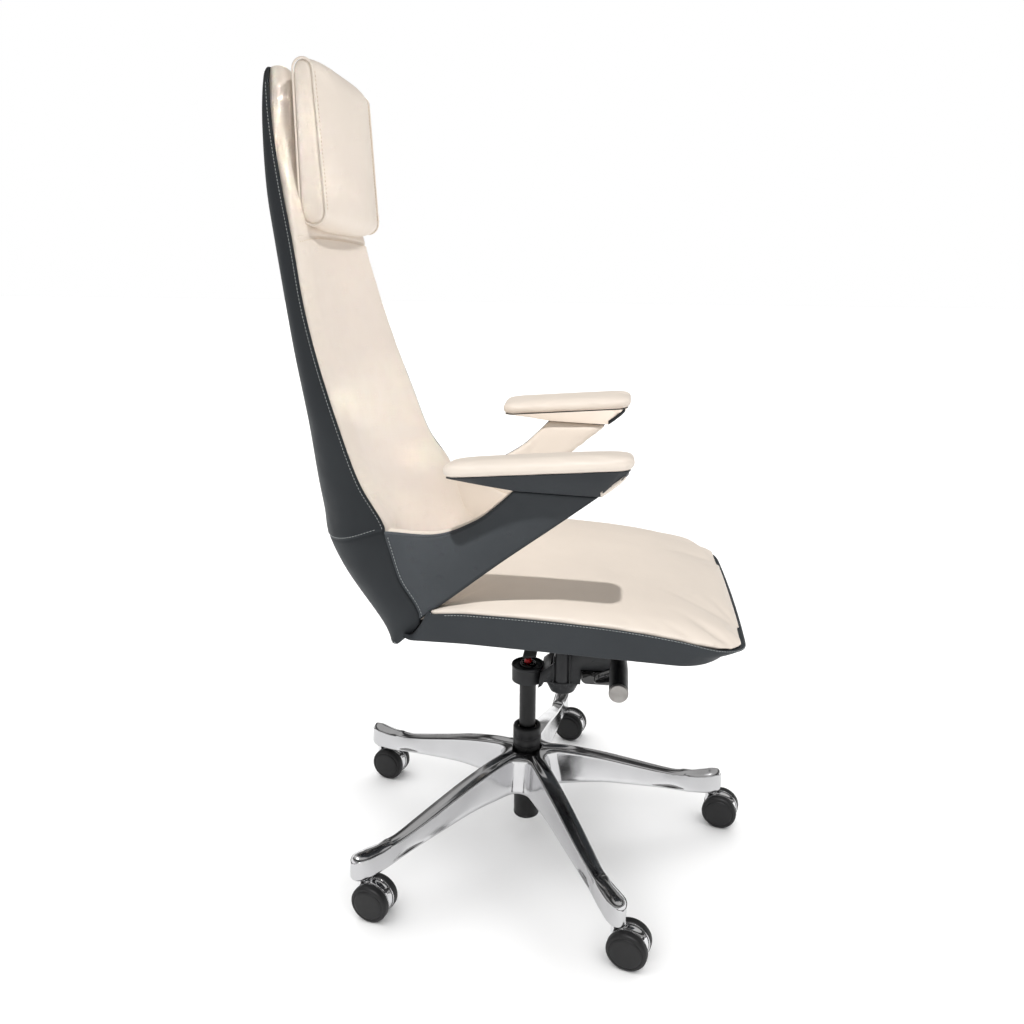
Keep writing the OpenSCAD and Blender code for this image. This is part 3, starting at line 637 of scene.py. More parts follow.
def base_casting():
    """Polished five-arm star: tall thin arms joined by rounded webs, each ending in a level boss with a pointed rib on
    its end.
    """
    corner_r = 24
    half_turn = math.radians(36)
    # height share, height offset, inset from the side
    profile = [
        (0, 0.0, 7.0), (0, 0.0, 3.4), (0, 0.9, 1.1), (0, 3.4, 0.0), (0.16, 0, 0), (0.32, 0, 0), (0.48, 0, 0),
        (0.64, 0, 0), (0.8, 0, 0), (0.9, 0, 0), (1, -2.8, 0.0), (1, -0.8, 0.8), (1, 0.0, 2.8), (1, 0.1, 5.0),
    ]

    def half_width(r, share, inset):
        width = mix(smooth(ARM_ROWS, r, 4), smooth(ARM_ROWS, r, 3), share)
        barrel = 1 + 2.2 * step(278, 300, r)
        scoop = 3.0 * math.exp(-(((r - 256) / 22) ** 2)) * math.sin(math.pi * share)
        hollow = 1.2 * math.sin(math.pi * share) * step(40, 90, r)
        top_inset = inset * (barrel if share > 0.5 else 1)
        return max(width - scoop - hollow - min(top_inset, width * 0.75), 0.4)

    def height(r, share, offset):
        barrel = 1 + 2.2 * step(278, 300, r)
        low, top = smooth(ARM_ROWS, r, 2), smooth(ARM_ROWS, r, 1)
        lip = 1.1 * step(279, 283, r)
        return mix(low, top + lip, share) + offset * (barrel if share > 0.5 else 1)

    def edge_path(share, offset, inset):
        """Points (out, aside, z) from the middle of the web to the tip."""
        root = half_width(46, share, inset)
        reach = (root + corner_r) / math.sin(half_turn)
        cx, cy = reach * math.cos(half_turn), reach * math.sin(half_turn)
        path = []
        for a in spaced(180 + 36, 270, 9)[:-1]:
            x, y = cx + corner_r * math.cos(math.radians(a)), cy + corner_r * math.sin(math.radians(a))
            path.append((x, y, height(math.hypot(x, y), share, offset)))
        for r in [*spaced(cx, 262, 22)[:-1], 262, 268, 273, 277, 280, 283, 287, 292, 300, 308, 316, 324]:
            path.append((r, half_width(r, share, inset), height(r, share, offset)))
        end = half_width(324, share, inset)
        for a in spaced(0, 90, 22)[1:]:
            rib = rib_height(a, share)
            c, s = math.cos(math.radians(a)), math.sin(math.radians(a))
            out = 324 + (24 - inset * 0.7 + rib) * s
            path.append((out, (end + rib * 0.6) * c ** 0.8 if c > 1e-9 else 0.0, height(min(out, 348), share, offset) + 3.0 * share * s))
        return path

    def rib_height(a, share):
        """A pointed arch stands on the end of each boss."""
        edge = max(0.0, 1 - (share / 0.9) ** 2.2)
        across = abs(a - 90) / (34 * max(edge, 0.05))
        return 1.6 * max(0.0, 1 - across**4) ** 0.7 if edge > 0 else 0.0

    levels = [edge_path(*row) for row in profile]
    count = len(levels[0])

    def spine(i, level):
        """Middle of the top or underside, beside station i."""
        x, y, z = levels[level][i]
        if i < 9:
            a = math.radians(mix(36, 0, i / 9))
            return (TUBE_R * math.cos(a), TUBE_R * math.sin(a), z)
        start = levels[level][9][0]
        return (mix(TUBE_R, x, step(start, start + 60, x)) if x < start + 60 else min(x, 344), 0.0, z)

    def across(level, shares):
        grid = []
        for share in shares:
            row = []
            for i in range(count):
                e, s = levels[level][i], spine(i, level)
                crown = 0.8 * (1 - (1 - share) ** 2)
                row.append((mix(e[0], s[0], share), mix(e[1], s[1], share), e[2] + (crown if level else -crown)))
            grid.append(row)
        return grid

    top = len(profile) - 1
    rows = across(0, (1, 0.66, 0.33)) + levels + across(top, (0.33, 0.66, 1))
    points, faces = [], []
    for k in range(5):
        turn = math.radians(FIRST_ARM + 72 * k)
        ahead = np.array([math.sin(turn), -math.cos(turn)])
        aside = np.array([math.cos(turn), math.sin(turn)])
        for sign in (-1, 1):
            base = len(points)
            for row in rows:
                for x, y, z in row:
                    p = ahead * x + aside * y * sign
                    points.append((p[0], p[1], z))
            for i in range(len(rows) - 1):
                for j in range(count - 1):
                    a = base + i * count + j
                    faces.append((a, a + 1, a + count + 1, a + count))
            bore = len(rows) - 1
            for j in range(9):
                a, b = base + j, base + bore * count + j
                faces.append((a, a + 1, b + 1, b))
    obj = shape("base_casting", points, faces)
    subdivide(obj)
    return finish_piece(obj, aluminium, "base", ["base_star"])


def column_pieces():
    """Collar with a stepped top ring, and the lip that the cylinder comes out of."""
    collar = lathe("collar_moulding", [
        (169, 22.2), (169, 23.2), (170, 24.0), (175, 24.2), (184, 24.2), (184.6, 23.7), (185.4, 23.7), (186, 24.2),
        (201, 24.0), (203.6, 23.1), (204.8, 21.6), (204.9, 18.6), (204.2, 17.2), (201, 16.6), (200.2, 15.4),
    ], (0, 0, 0), "Z", 72, closed=False)
    finish_piece(collar, black_plastic, "base", ["column_collar"])
    foot = lathe("tube_foot_ring", [
        (31.4, 17.0), (31.2, 19.6), (31.8, 21.2), (33.5, 22.25), (36, 22.3), (36, 20), (33.4, 17.4),
    ], (0, 0, 0), "Z", 72, closed=False)
    finish_piece(foot, black_steel, "base")


# ---------------------------------------------------------------- casters

def caster_places():
    for k in range(5):
        turn = math.radians(FIRST_ARM + 72 * k)
        yield k + 1, np.array([STEM_R * math.sin(turn), -STEM_R * math.cos(turn), 0.0])


def swivelled(obj, place):
    """Turns a caster's piece about its stem, as in the CAD."""
    stem = Matrix.Translation(Vector(place) * MM)
    obj.data.transform(stem @ Matrix.Rotation(math.radians(CASTER_TURN), 4, "Z") @ stem.inverted())
    return obj


def caster_hood(k, place):
    """Chrome yoke between the wheels: a rolled mudguard band, a neck up to the stem, and its fixing screw."""
    centre = place + np.array([0, -TRAIL, WHEEL_R])
    rings = []
    # x across the band, radius of its face
    section = [(-7.4, 22.5), (-7.4, 26.5), (-6.8, 27.0), (-6.0, 27.0), (-5.2, 26.3), (0, 25.8), (5.2, 26.3),
               (6.0, 27.0), (6.8, 27.0), (7.4, 26.5), (7.4, 22.5)]
    disc = lathe(f"caster_hood_band_{k}", [(-7.4, 2.0), *section, (7.4, 2.0)], centre, "X", 64)
    finish_piece(swivelled(disc, place), chrome, f"caster_{k}", [f"caster_hood_{k}"])
    for z, half_x, y0, y1 in (
        (22, 6.9, -21, 6.0), (30, 6.9, -21, 6.8), (42, 7.0, -20, 7.2), (50, 7.0, -15, 7.4), (55.5, 7.2, -11, 7.4),
        (59, 7.4, -8.5, 7.4), (60.8, 9.6, -9.8, 9.8), (61.4, 10.9, -10.9, 10.9), (62, 10.4, -10.4, 10.4), (62, 5, -5, 5),
    ):
        ring = []
        for j in range(28):
            a = 2 * math.pi * j / 28
            c, s = math.cos(a), math.sin(a)
            power = 0.62 if z < 57 else 1.0
            x = half_x * math.copysign(abs(c) ** power, c)
            y = mix(y0, y1, (math.copysign(abs(s) ** power, s) + 1) / 2)
            ring.append((place[0] + x, place[1] + y, z))
        rings.append(ring)
    neck = loft(f"caster_neck_{k}", rings)
    finish_piece(swivelled(neck, place), chrome, f"caster_{k}")
    screw = lathe(f"caster_screw_{k}", [(-1.2, 0.4), (-1.2, 2.0), (-0.2, 2.3), (0.6, 1.6), (0.7, 0.4)], (0, 0, 0), "Z", 16)
    screw.data.transform(Matrix.Rotation(math.radians(52), 4, "X"))
    lean = math.radians(52)
    out = centre + 26 * np.array([0, -math.sin(lean), math.cos(lean)])
    screw.data.transform(Matrix.Translation(Vector(out) * MM))
    finish_piece(swivelled(screw, place), black_plastic, f"caster_{k}")


def caster_wheels(k, place):
    """Twin wheels: soft tread, a stepped outer face with a raised disc, and a bright ring inside each."""
    centre = place + np.array([0, -TRAIL, WHEEL_R])
    outer = [
        (8.0, 3.3), (8.0, 27.5), (8.5, 29.1), (9.8, 29.9), (11, 30), (16.8, 30), (18.4, 29.7), (19.9, 28.8),
        (20.8, 27.4), (21.15, 25.7), (21.15, 24.9), (20.5, 24.4), (20.45, 23.8), (21.2, 23.2), (21.9, 22.5),
        (22.3, 21.1), (22.45, 18.5), (22.5, 9.0), (22.5, 0.6),
    ]
    for side, word in ((-1, "right"), (1, "left")):
        tyre = lathe(f"caster_wheel_{word}_{k}", [(side * x, r) for x, r in outer], centre, "X", 72)
        names = [f"caster_wheels_{k}"] if side < 0 else []
        finish_piece(swivelled(tyre, place), wheel_black, f"wheels_{k}", names)
        ring = lathe(f"caster_ring_{word}_{k}", [
            (side * x, r) for x, r in ((7.75, 26.8), (7.75, 28.5), (8.0, 28.9), (8.4, 28.9), (8.4, 26.8))
        ], centre, "X", 72, closed=False)
        finish_piece(swivelled(ring, place), chrome, f"wheels_{k}")


# ---------------------------------------------------------------- mechanism

def mechanism_pieces():
    """Cast housing, glossy cover and knob, with the bosses and ribs that they carry; the lever is made by
    lever_pieces().
    """
    softened("mechanism_housing", "housing_casting", cast_black, 1.6)
    softened("front_cover", "cover_moulding", gloss_black, 1.4, 40)
    softened("seat_bracket", "bracket_pressing", cast_black, 0.8)
    softened("valve_button", "button_moulding", red_plastic, 0.6)
    softened("tension_knob", "knob_moulding", cast_black, 0.9)
    softened("tilt_axle", "axle_bar", steel, 0.6)
    lip = lathe("hub_lip", [
        (312.5, 27.2), (315.4, 27.9), (317.6, 27.6), (318.4, 26.2), (318.2, 24.6), (316.2, 23.8), (313.5, 23.6),
    ], (0, 0, 0), "Z", 72, closed=False)
    finish_piece(lip, cast_black, "lift")
    rim = lathe("spring_cup_rim", [
        (298.6, 4), (298.6, 28.6), (299.3, 29.5), (302.2, 29.5), (303, 28.6), (303, 4),
    ], (-9, -58, 0), "Z", 64)
    finish_piece(rim, cast_black, "lift")
    seat_of_button = lathe("button_socket", [
        (315.6, 8.6), (318.6, 9.0), (320.2, 10.2), (320.4, 12.0), (319.2, 13.2), (316.2, 14.4), (315.6, 14.4),
    ], (0, 0, 0), "Z", 48, closed=False)
    finish_piece(seat_of_button, gloss_black, "lift")
    for side, word in ((-1, "right"), (1, "left")):
        rings = []
        for z, grow in ((299.5, -1.2), (300.5, -0.2), (304, 0), (340, 0), (356, -0.6), (362, -3.5)):
            rings.append([
                (side * (29.5 + (8.2 + grow) * math.sin(a)), -59 + (11.5 + grow) * math.cos(a), z)
                for a in spaced(0, math.pi, 14)
            ] + [(side * 29.0, -59 - 11.5 - grow, z), (side * 29.0, -59 + 11.5 + grow, z)])
        boss = loft(f"spring_boss_{word}", rings)
        finish_piece(boss, cast_black, "lift")
        for j, y in enumerate((-72.5, -45.5)):
            rib = shape(f"boss_rib_{word}_{j + 1}", *block((side * 30, y - 1.2, 300), (side * 35.5, y + 1.2, 352)))
            round_over(rib, 0.8)
            finish_piece(rib, cast_black, "lift")


def block(low, high):
    """Points and faces of a box between two corners."""
    points = [(x, y, z) for z in (low[2], high[2]) for y in (low[1], high[1]) for x in (low[0], high[0])]
    faces = [(0, 1, 3, 2), (4, 6, 7, 5), (0, 4, 5, 1), (2, 3, 7, 6), (0, 2, 6, 4), (1, 5, 7, 3)]
    return points, faces


def round_over(obj, width, segments=3):
    bevel = obj.modifiers.new("bevel", "BEVEL")
    bevel.width = width * MM
    bevel.segments = segments
    bevel.limit_method = "ANGLE"
    return settle(obj)


def lever_pieces():
    """Round grip with a flattened paddle, and its satin end cap."""
    rings = []
    for x, radius in (
        (-194, 13.4), (-193, 13.9), (-188, 14), (-150, 14), (-120, 13.9), (-104, 13.4), (-92, 12.6), (-88.5, 11.4)
    ):
        ring = []
        for j in range(40):
            a = 2 * math.pi * j / 40
            ring.append((x, TILT_Y + radius * math.cos(a), TILT_Z + radius * math.sin(a)))
        rings.append(ring)
    grip = loft("lever_grip_moulding", rings)
    finish_piece(grip, black_plastic, "lever", ["lever_grip"])
    paddle_rings = []
    for x0, x1, y, z, thick in (
        (-158, -106, 2, 0, 15), (-156, -107, 12, -5, 11), (-150, -109, 24, -10, 8),
        (-143, -112, 33, -13.6, 6), (-139, -115, 36.5, -15, 3.4),
    ):
        ring = []
        for j in range(32):
            a = 2 * math.pi * j / 32
            c, s = math.cos(a), math.sin(a)
            ring.append((
                mix(x0, x1, (math.copysign(abs(c) ** 0.5, c) + 1) / 2),
                TILT_Y + y + 0.36 * thick / 2 * s,
                TILT_Z + z + 0.93 * thick / 2 * math.copysign(abs(s) ** 0.8, s),
            ))
        paddle_rings.append(ring)
    paddle = loft("lever_paddle", paddle_rings)
    subdivide(paddle)
    finish_piece(paddle, gloss_black, "lever")
    cap = lathe("end_cap_disc", [
        (-194.0, 13.8), (-195.4, 14.2), (-198.6, 14.1), (-199.5, 13.6), (-199.95, 12.7), (-199.75, 12.0), (-199.75, 0.4),
    ], (0, TILT_Y, TILT_Z), "X", 64)
    finish_piece(cap, satin, "lever", ["lever_end_cap"])


# ---------------------------------------------------------------- seat

def seat_outline(side, front, rear):
    """Outline of the seat at one level, as in the CAD but finer."""
    half, fy = SEAT_W / 2 - side, SEAT_FRONT + front
    rf, rr = FRONT_CORNER - min(side, 40), max(REAR_CORNER - side, 8)

    def corner(cx, cy, r, start):
        return [(cx + r * math.cos(math.radians(a)), cy + r * math.sin(math.radians(a))) for a in spaced(start, start + 90, 12)]

    def bowed(points):
        return [(x, y + 7 * (x / half) ** 2 * (1 if y < fy + rf else 0)) for x, y in points]

    left = [(-half, mix(rear - rr, fy + rf, t)) for t in spaced(0, 1, 26)[1:-1]]
    front_edge = [(mix(rf - half, half - rf, t), fy) for t in spaced(0, 1, 28)[1:-1]]
    rear_edge = [(mix(rr - half, half - rr, t), rear) for t in spaced(1, 0, 30)[1:-1]]
    return (
        corner(half - rr, rear - rr, rr, 0) + rear_edge
        + corner(rr - half, rear - rr, rr, 90) + left
        + bowed(corner(rf - half, fy + rf, rf, 180) + front_edge + corner(half - rf, fy + rf, rf, 270))
        + [(half, mix(fy + rf, rear - rr, t)) for t in spaced(0, 1, 26)[1:-1]]
    )


def rim_z(y):
    return smooth(RIM_ROWS, max(y, SEAT_FRONT))


def seat_ring(side, front, share, rise=0.0, low=SEAT_LOW, fall=0.0):
    """One ring of the seat: share 0 is the underside and 1 the stitched rim."""
    rear = mix(BASE_REAR, RIM_REAR, share) - 5 * math.sin(math.pi * min(share, 1)) - min(side, 24 + side / 5)
    return [
        (x, y, mix(low + fall * (y - TILT_Y), rim_z(y), share) + rise)
        for x, y in seat_outline(side, front, rear)
    ]


def seat_pieces():
    """Dark upholstered tray with a stitched rim, and the crowned cushion that sits in it."""
    outside = [
        (144, 118, 0, 0, 0), (60, 80, 0, 0, 0), (16, 48, 0, 0, SKIRT_FALL), (7.5, 40, 0, 0.1, SKIRT_FALL),
        (4.4, 36.5, 0, 1.2, SKIRT_FALL), (3.0, 33, 0.05, 1.2, SKIRT_FALL * 0.9), (2.6, 28.5, 0.13, 0, SKIRT_FALL * 0.5),
        (2.1, 22, 0.26, 0, 0), (1.5, 16, 0.38, 0, 0), (0.9, 10.5, 0.5, 0, 0), (0.4, 6, 0.64, 0, 0), (0, 2.6, 0.78, 0, 0),
        (0, 0.6, 0.9, 0, 0), (0.3, 0.3, 1, -2.2, 0), (1.0, 1.0, 1, -0.8, 0), (2.4, 2.4, 1, -0.2, 0),
        (4.2, 4.2, 1, -1.0, 0), (6.0, 6.0, 1, -3.4, 0), (8.0, 9.0, 0.86, 0, 0), (RIM_T, RIM_T + 6, 0.75, 0, 0),
    ]
    rings = [seat_ring(a, b, c, d, SEAT_LOW, e) for a, b, c, d, e in outside]
    rings.append(seat_ring(RIM_T + 14, 44, 0, TRAY_Z - SEAT_LOW))
    rings.append(seat_ring(RIM_T + 60, 90, 0, TRAY_Z - SEAT_LOW))
    tray = loft("seat_tray_leather", rings)
    subdivide(tray)
    finish_piece(tray, slate, "upper", ["seat_shell"])

    rim = seat_ring(0.6, 0.8, 0.955)
    path = evenly(rim, 3.0, closed=True)
    press_seam(tray, np.vstack([path, path[:1]]), 0.4, 1.8)
    on_rim, normals = hugging(tray, path, 0.25)
    shown = on_rim[:, 1] < RIM_REAR - 24
    order = np.argmax(~shown & np.roll(shown, -1)) + 1
    on_rim, normals, shown = (np.roll(v, -order, axis=0) for v in (on_rim, normals, shown))
    stitches("seat_rim_stitches", on_rim[shown], normals[shown], thread, "upper", pitch=4.4, length=3.2)

    swell = 4.0
    low = TRAY_Z + 11
    inner = [
        seat_ring(RIM_T + 60, 110, 0, low - SEAT_LOW), seat_ring(RIM_T + 26, 84, 0, low - SEAT_LOW),
        seat_ring(RIM_T + 3, RIM_T + 11, 0.8, 0), seat_ring(4.5, 5, 1, -3),
        seat_ring(1.2, 1.2, 1, -0.2), seat_ring(0.6, 0.6, 1, 2.4), seat_ring(3.2, 3.2, 1, 6.2 - swell * 0.3),
        seat_ring(10, 10, 1, 9.2 - swell * 0.6), seat_ring(26, 26, 1, 11.5 - swell),
        seat_ring(RIM_T + 80, RIM_T + 80, 1, SEAT_CROWN - swell),
        seat_ring(RIM_T + 150, RIM_T + 130, 1, SEAT_CROWN - swell),
    ]
    cushion = loft("seat_cushion_leather", inner)

    def held(x, y, z):
        return 1.0 if z < rim_z(y) - 1.5 else 0.0

    stuffed(cushion, 6, swell + 1.5, held)
    finish_piece(cushion, cream, "upper", ["seat_cushion"])


# ---------------------------------------------------------------- back

def back_point(z, t, inset, edge_shift=0.0):
    """Point on the back at height z; t runs -1 to 1 around the shell, and inset moves it inwards."""
    crown = 1 - math.sqrt(max(0.0, 1 - max(0.0, (z - (BACK_TOP - 14)) / 14.5) ** 2))
    w = smooth(BACK_ROWS, z, 1) - inset - 16 * crown
    edge = smooth(BACK_ROWS, z, 2) + edge_shift
    depth = smooth(BACK_ROWS, z, 3) - edge - inset - 11 * crown
    s, c = math.sin(math.radians(90 * t)), max(math.cos(math.radians(90 * t)), 0)
    return np.array([w * math.copysign(abs(s) ** (2 / 3), s), edge + max(depth, 1) * c ** (2 / 3), z])


def seam_height(t):
    """The level seam round the bend of the back sags between the two side edges."""
    return 587 + 24 * abs(t) ** 5


def shell_t(z):
    return min(SHELL_T, 4 + (z - BACK_BOTTOM) / 10)


def drawn_back(z):
    """How far the shell's front edge draws back near the top, where the pad shows round it."""
    return 15 * step(930, 1190, z)


def back_ring(z, t_rows, tuck, follow):
    """Closed ring round the shell at one level, with rolled side edges; follow bends it along the seam."""
    roll = 3.5

    def level(t):
        return z + follow * (seam_height(t) - seam_height(0))

    ring = [back_point(level(t), t, tuck, roll + drawn_back(level(t))) for t in t_rows]
    for end, run in ((1, t_rows[::-1]), (-1, None)):
        z_end = level(end)
        half = shell_t(z_end) / 2
        w, edge = smooth(BACK_ROWS, z_end, 1), smooth(BACK_ROWS, z_end, 2) + drawn_back(z_end)
        crown = 16 * (1 - math.sqrt(max(0.0, 1 - max(0.0, (z_end - (BACK_TOP - 14)) / 14.5) ** 2)))
        turn = spaced(0, math.pi, 6)[1:-1]
        if end < 0:
            turn = turn[::-1]
        for a in turn:
            ring.append(np.array([
                end * (w - crown - half + (half - tuck) * math.cos(a)),
                edge + roll - (roll - tuck) * math.sin(a),
                z_end,
            ]))
        if run is not None:
            ring += [back_point(level(t), t, shell_t(level(t)) - tuck, roll + drawn_back(level(t))) for t in run]
    return ring


def back_shell():
    """Dark outer shell of the back with its level seam and bound edges."""
    t_rows = [math.copysign(abs(u) ** 0.8, u) for u in spaced(-1, 1, 56)]
    seam = seam_height(0)
    levels = [(BACK_BOTTOM, 1.9, 0), (BACK_BOTTOM + 0.5, 0.9, 0), (BACK_BOTTOM + 2, 0.1, 0)]
    levels += [(z, 0, 0) for z in spaced(BACK_BOTTOM + 7, seam - 40, 14)]
    levels += [(z, 0, step(seam - 40, seam - 14, z)) for z in (seam - 30, seam - 20, seam - 12)]
    levels += [(seam + d, tuck, 1) for d, tuck in ((-7, 0), (-4, 0), (-2, 0.25), (0, 1.3), (2, 0.25), (4, 0), (7, 0))]
    levels += [(z, 0, 1 - step(seam + 14, seam + 46, z)) for z in (seam + 13, seam + 20, seam + 30, seam + 40)]
    levels += [(z, 0, 0) for z in spaced(seam + 52, BACK_TOP - 14, 52)]
    levels += [(BACK_TOP - 14 + 14 * math.sin(a), 0, 0) for a in spaced(0, math.radians(76), 6)[1:]]
    levels += [(BACK_TOP - 0.2, 1.5, 0), (BACK_TOP, 3.2, 0)]
    shell = loft("back_shell_leather", [back_ring(z, t_rows, tuck, follow) for z, tuck, follow in levels])
    subdivide(shell)
    finish_piece(shell, slate, "upper", ["back_shell"])

    path = [back_point(seam_height(t) + 3.4, t, 0, 3.5) for t in spaced(-0.985, 0.985, 150)]
    points, normals = hugging(shell, path, 0.1)
    stitches("back_seam_stitches", points, normals, thread, "upper")
    for side, word in ((-1, "right"), (1, "left")):
        path = [
            (side * (smooth(BACK_ROWS, z, 1) - 0.6), smooth(BACK_ROWS, z, 2) + drawn_back(z) + 3.4, z)
            for z in spaced(WING_UPPER[0][3] + 2, BACK_TOP - 20, 220)
        ]
        points, normals = hugging(shell, path, 0.15)
        stitches(f"back_edge_stitches_{word}", points, normals, thread, "upper", pitch=4.8)
    hem = [back_point(BACK_BOTTOM + 3.2, t, 0, 3.5) for t in spaced(-0.985, 0.985, 120)]
    points, normals = hugging(shell, hem, 0.1)
    stitches("back_hem_stitches", points, normals, thread, "upper", pitch=4.8)


def pad_front(z, u, inset):
    """Front of the pad: a rounded shoulder at each side and a hollow between them."""
    w = smooth(BACK_ROWS, z, 1) - inset
    edge, deep = smooth(BACK_ROWS, z, 2), smooth(BACK_ROWS, z, 3) - smooth(BACK_ROWS, z, 2)
    dish = min(PAD_DISH, 0.24 * deep)
    shoulder = 11 * math.sqrt(max(0.0, 1 - abs(u) ** 24))
    return np.array([w * u, edge - 1 + dish * (1 - abs(u) ** 2.4) - shoulder, z])


def back_pad():
    """Cream pad that lines the shell, with the seam under the headrest."""
    swell = 2.5
    rings = []
    ends = [(PAD_BOTTOM, 0.55), (PAD_BOTTOM + 1.5, 0.8), (PAD_BOTTOM + 5, 1.0)]
    ends += [(z, 1.0) for z in spaced(PAD_BOTTOM + 14, BACK_TOP - 14, 60)]
    ends += [(BACK_TOP - 7, 0.97), (BACK_TOP - 1, 0.9), (BACK_TOP + 3, 0.72)]
    for z, full in ends:
        inset = 2.4 + swell * 0.4 + (1 - full) * 16
        lead = np.array([0, swell * 0.7 + (1 - full) * 12, 0])
        ring = [pad_front(z, u, inset) + lead for u in spaced(-1, 1, 40)]
        tuck = shell_t(z) + 1.5 + (1 - full) * 5
        rear = [back_point(min(z, BACK_TOP - 12), t, tuck, 5 + drawn_back(z)) for t in spaced(1, -1, 40)]
        rings.append(ring + [np.array([p[0], max(p[1], q[1] + 5), z]) for p, q in zip(rear, ring[::-1])])
    pad = loft("back_pad_leather", rings)

    def held(x, y, z):
        front = pad_front(min(max(z, PAD_BOTTOM), BACK_TOP - 2), min(max(x / (smooth(BACK_ROWS, z, 1) - 4), -1), 1), 4)[1]
        return 1.0 if y > front + 9 else 0.0

    stuffed(pad, 6, swell + 2, held)
    seam = [pad_front(z_at(u), u, 10) for u in spaced(-0.99, 0.99, 90)]
    seam, _ = hugging(pad, evenly(seam, 2))
    press_seam(pad, seam, 2.2, 2.6)
    finish_piece(pad, cream, "upper", ["back_pad"])
    fold, _ = hugging(pad, [p + np.array([0, 0, 2.6]) for p in seam], -0.4)
    tube("back_seam_welt", fold, 1.0, cream, "upper")
    below, normals = hugging(pad, [p - np.array([0, 0, 4.5]) for p in seam], 0.1)
    stitches("back_pad_stitches", below, normals, cream_thread, "upper", pitch=4.8)


def z_at(u):
    """Height of the seam across the pad, a little higher in the middle."""
    return 1002 - 7 * abs(u) ** 3


# ---------------------------------------------------------------- wings

def wing_curve(table, s):
    return np.array([smooth(table, s, k) for k in (1, 2, 3)])


def wing_point(s, v, inset, rise=0.0):
    """Point on the right wing's outer face: s from seam to tip, v from lower to upper edge."""
    low, high = wing_curve(WING_LOWER, s), wing_curve(WING_UPPER, s)
    z = mix(WING_LOWER[0][3], WING_UPPER[0][3], v)
    bend = smooth(BACK_ROWS, z, 2) - mix(WING_LOWER[0][2], WING_UPPER[0][2], v)
    p = mix(low, high, v) + np.array([
        inset - 4 * WING_BULGE * math.sin(math.pi * min(max(v, 0), 1)) * s * (1 - s),
        bend * (1 - s) ** 3 + SEAM_LAP,
        0,
    ])
    return p + (high - low) / np.linalg.norm(high - low) * rise


def wing_ring(s, near, far, over, roll, inset_end=0.0):
    """Closed ring round the wing at one s between two insets, with rolled edges that stand over the edge by over."""
    middle, half = (near + far) / 2, (far - near) / 2 - inset_end
    ring = [wing_point(s, v, middle - half, 0) for v in spaced(0, 1, 22)[1:-1]]
    for v, side in ((1, 1), (0, -1)):
        ring += [
            wing_point(s, v, middle - side * half * math.cos(a), side * (over - roll + roll * math.sin(a)))
            for a in spaced(0, math.pi, 8)
        ]
        if v:
            ring += [wing_point(s, v2, middle + half, 0) for v2 in spaced(1, 0, 22)[1:-1]]
    return ring


def mirrored(obj, name):
    """Copy of a piece across the middle plane."""
    copy = bpy.data.objects.new(name, obj.data.copy())
    bpy.context.scene.collection.objects.link(copy)
    copy.data.transform(Matrix.Scale(-1, 4, (1, 0, 0)))
    copy.data.flip_normals()
    return copy


def both_sides(obj, finish, body, nodes=()):
    """Finishes a right-hand piece and its mirrored left-hand copy."""
    left = mirrored(obj, obj.name.replace("_right", "_left"))
    for piece, word in ((obj, "right"), (left, "left")):
        finish_piece(piece, finish, body, [f"{n}_{word}" for n in nodes])
    return left


def wing_pieces():
    """Each wing has a dark outer skin and a padded cream lining."""
    stations = [0.0, 0.004, 0.012, 0.03, *spaced(0.06, 0.94, 30), 0.97, 0.988, 0.996, 1.0]
    ends = {0.0: 2.6, 0.004: 1.2, 0.012: 0.3, 0.988: 0.3, 0.996: 1.2, 1.0: 2.6}
    skin = loft("wing_skin_right", [wing_ring(s, 0.2, WING_SHELL_T, 0, 4, ends.get(s, 0)) for s in stations])
    subdivide(skin)
    edge = [wing_point(0.012 + 0.02 * (1 - v), v, 0) for v in spaced(0.02, 0.985, 60)]
    press_seam(skin, edge, 0.5, 2.5)
    rows = {
        "wing_seam_stitches": [wing_point(0.022, v, 0) for v in spaced(0.02, 0.985, 60)],
        "wing_top_stitches": [wing_point(s, 0.985, 0) for s in spaced(0.03, 0.97, 120)],
        "wing_low_stitches": [wing_point(s, 0.02, 0) for s in spaced(0.03, 0.97, 120)],
    }
    for name, path in rows.items():
        points, normals = hugging(skin, evenly(path, 2), 0.15)
        line = shape_of_stitches(f"{name}_right", points, normals)
        both_sides(line, thread if name == "wing_seam_stitches" else slate, "upper")
    both_sides(skin, slate, "upper", ["wing_shell"])

    swell = 2.0
    stations[:4] = [-0.04, -0.034, -0.02, 0.01]
    ends.update({-0.04: 2.6, -0.034: 1.2})
    lining = loft("wing_lining_skin_right", [
        wing_ring(s, WING_SHELL_T + 0.4 + swell * 0.3, WING_T - swell, 3.2 - swell * 0.4, 7.5, 2.5 * ends.get(s, 0))
        for s in stations
    ])

    def held(x, y, z):
        return 1.0 if x < wing_x(y, z) + WING_SHELL_T + 4 else 0.0

    stuffed(lining, 5, swell + 1, held)
    for k, path in enumerate(lining_seams(), 1):
        near, _ = hugging(lining, evenly(path, 2))
        press_seam(lining, near, 1.6, 2.4)
        sunk, _ = hugging(lining, near, 0.05)
        line = tube(f"lining_seam_right_{k}", sunk, 0.5, cream_thread, "upper")
        both_sides(line, cream_thread, "upper")
    both_sides(lining, cream, "upper", ["wing_lining"])


def wing_x(y, z):
    """Outer face of the right wing, roughly, from depth and height."""
    s = min(max((150 - y) / 215, 0), 1)
    return mix(wing_curve(WING_LOWER, s)[0], wing_curve(WING_UPPER, s)[0], 0.5)


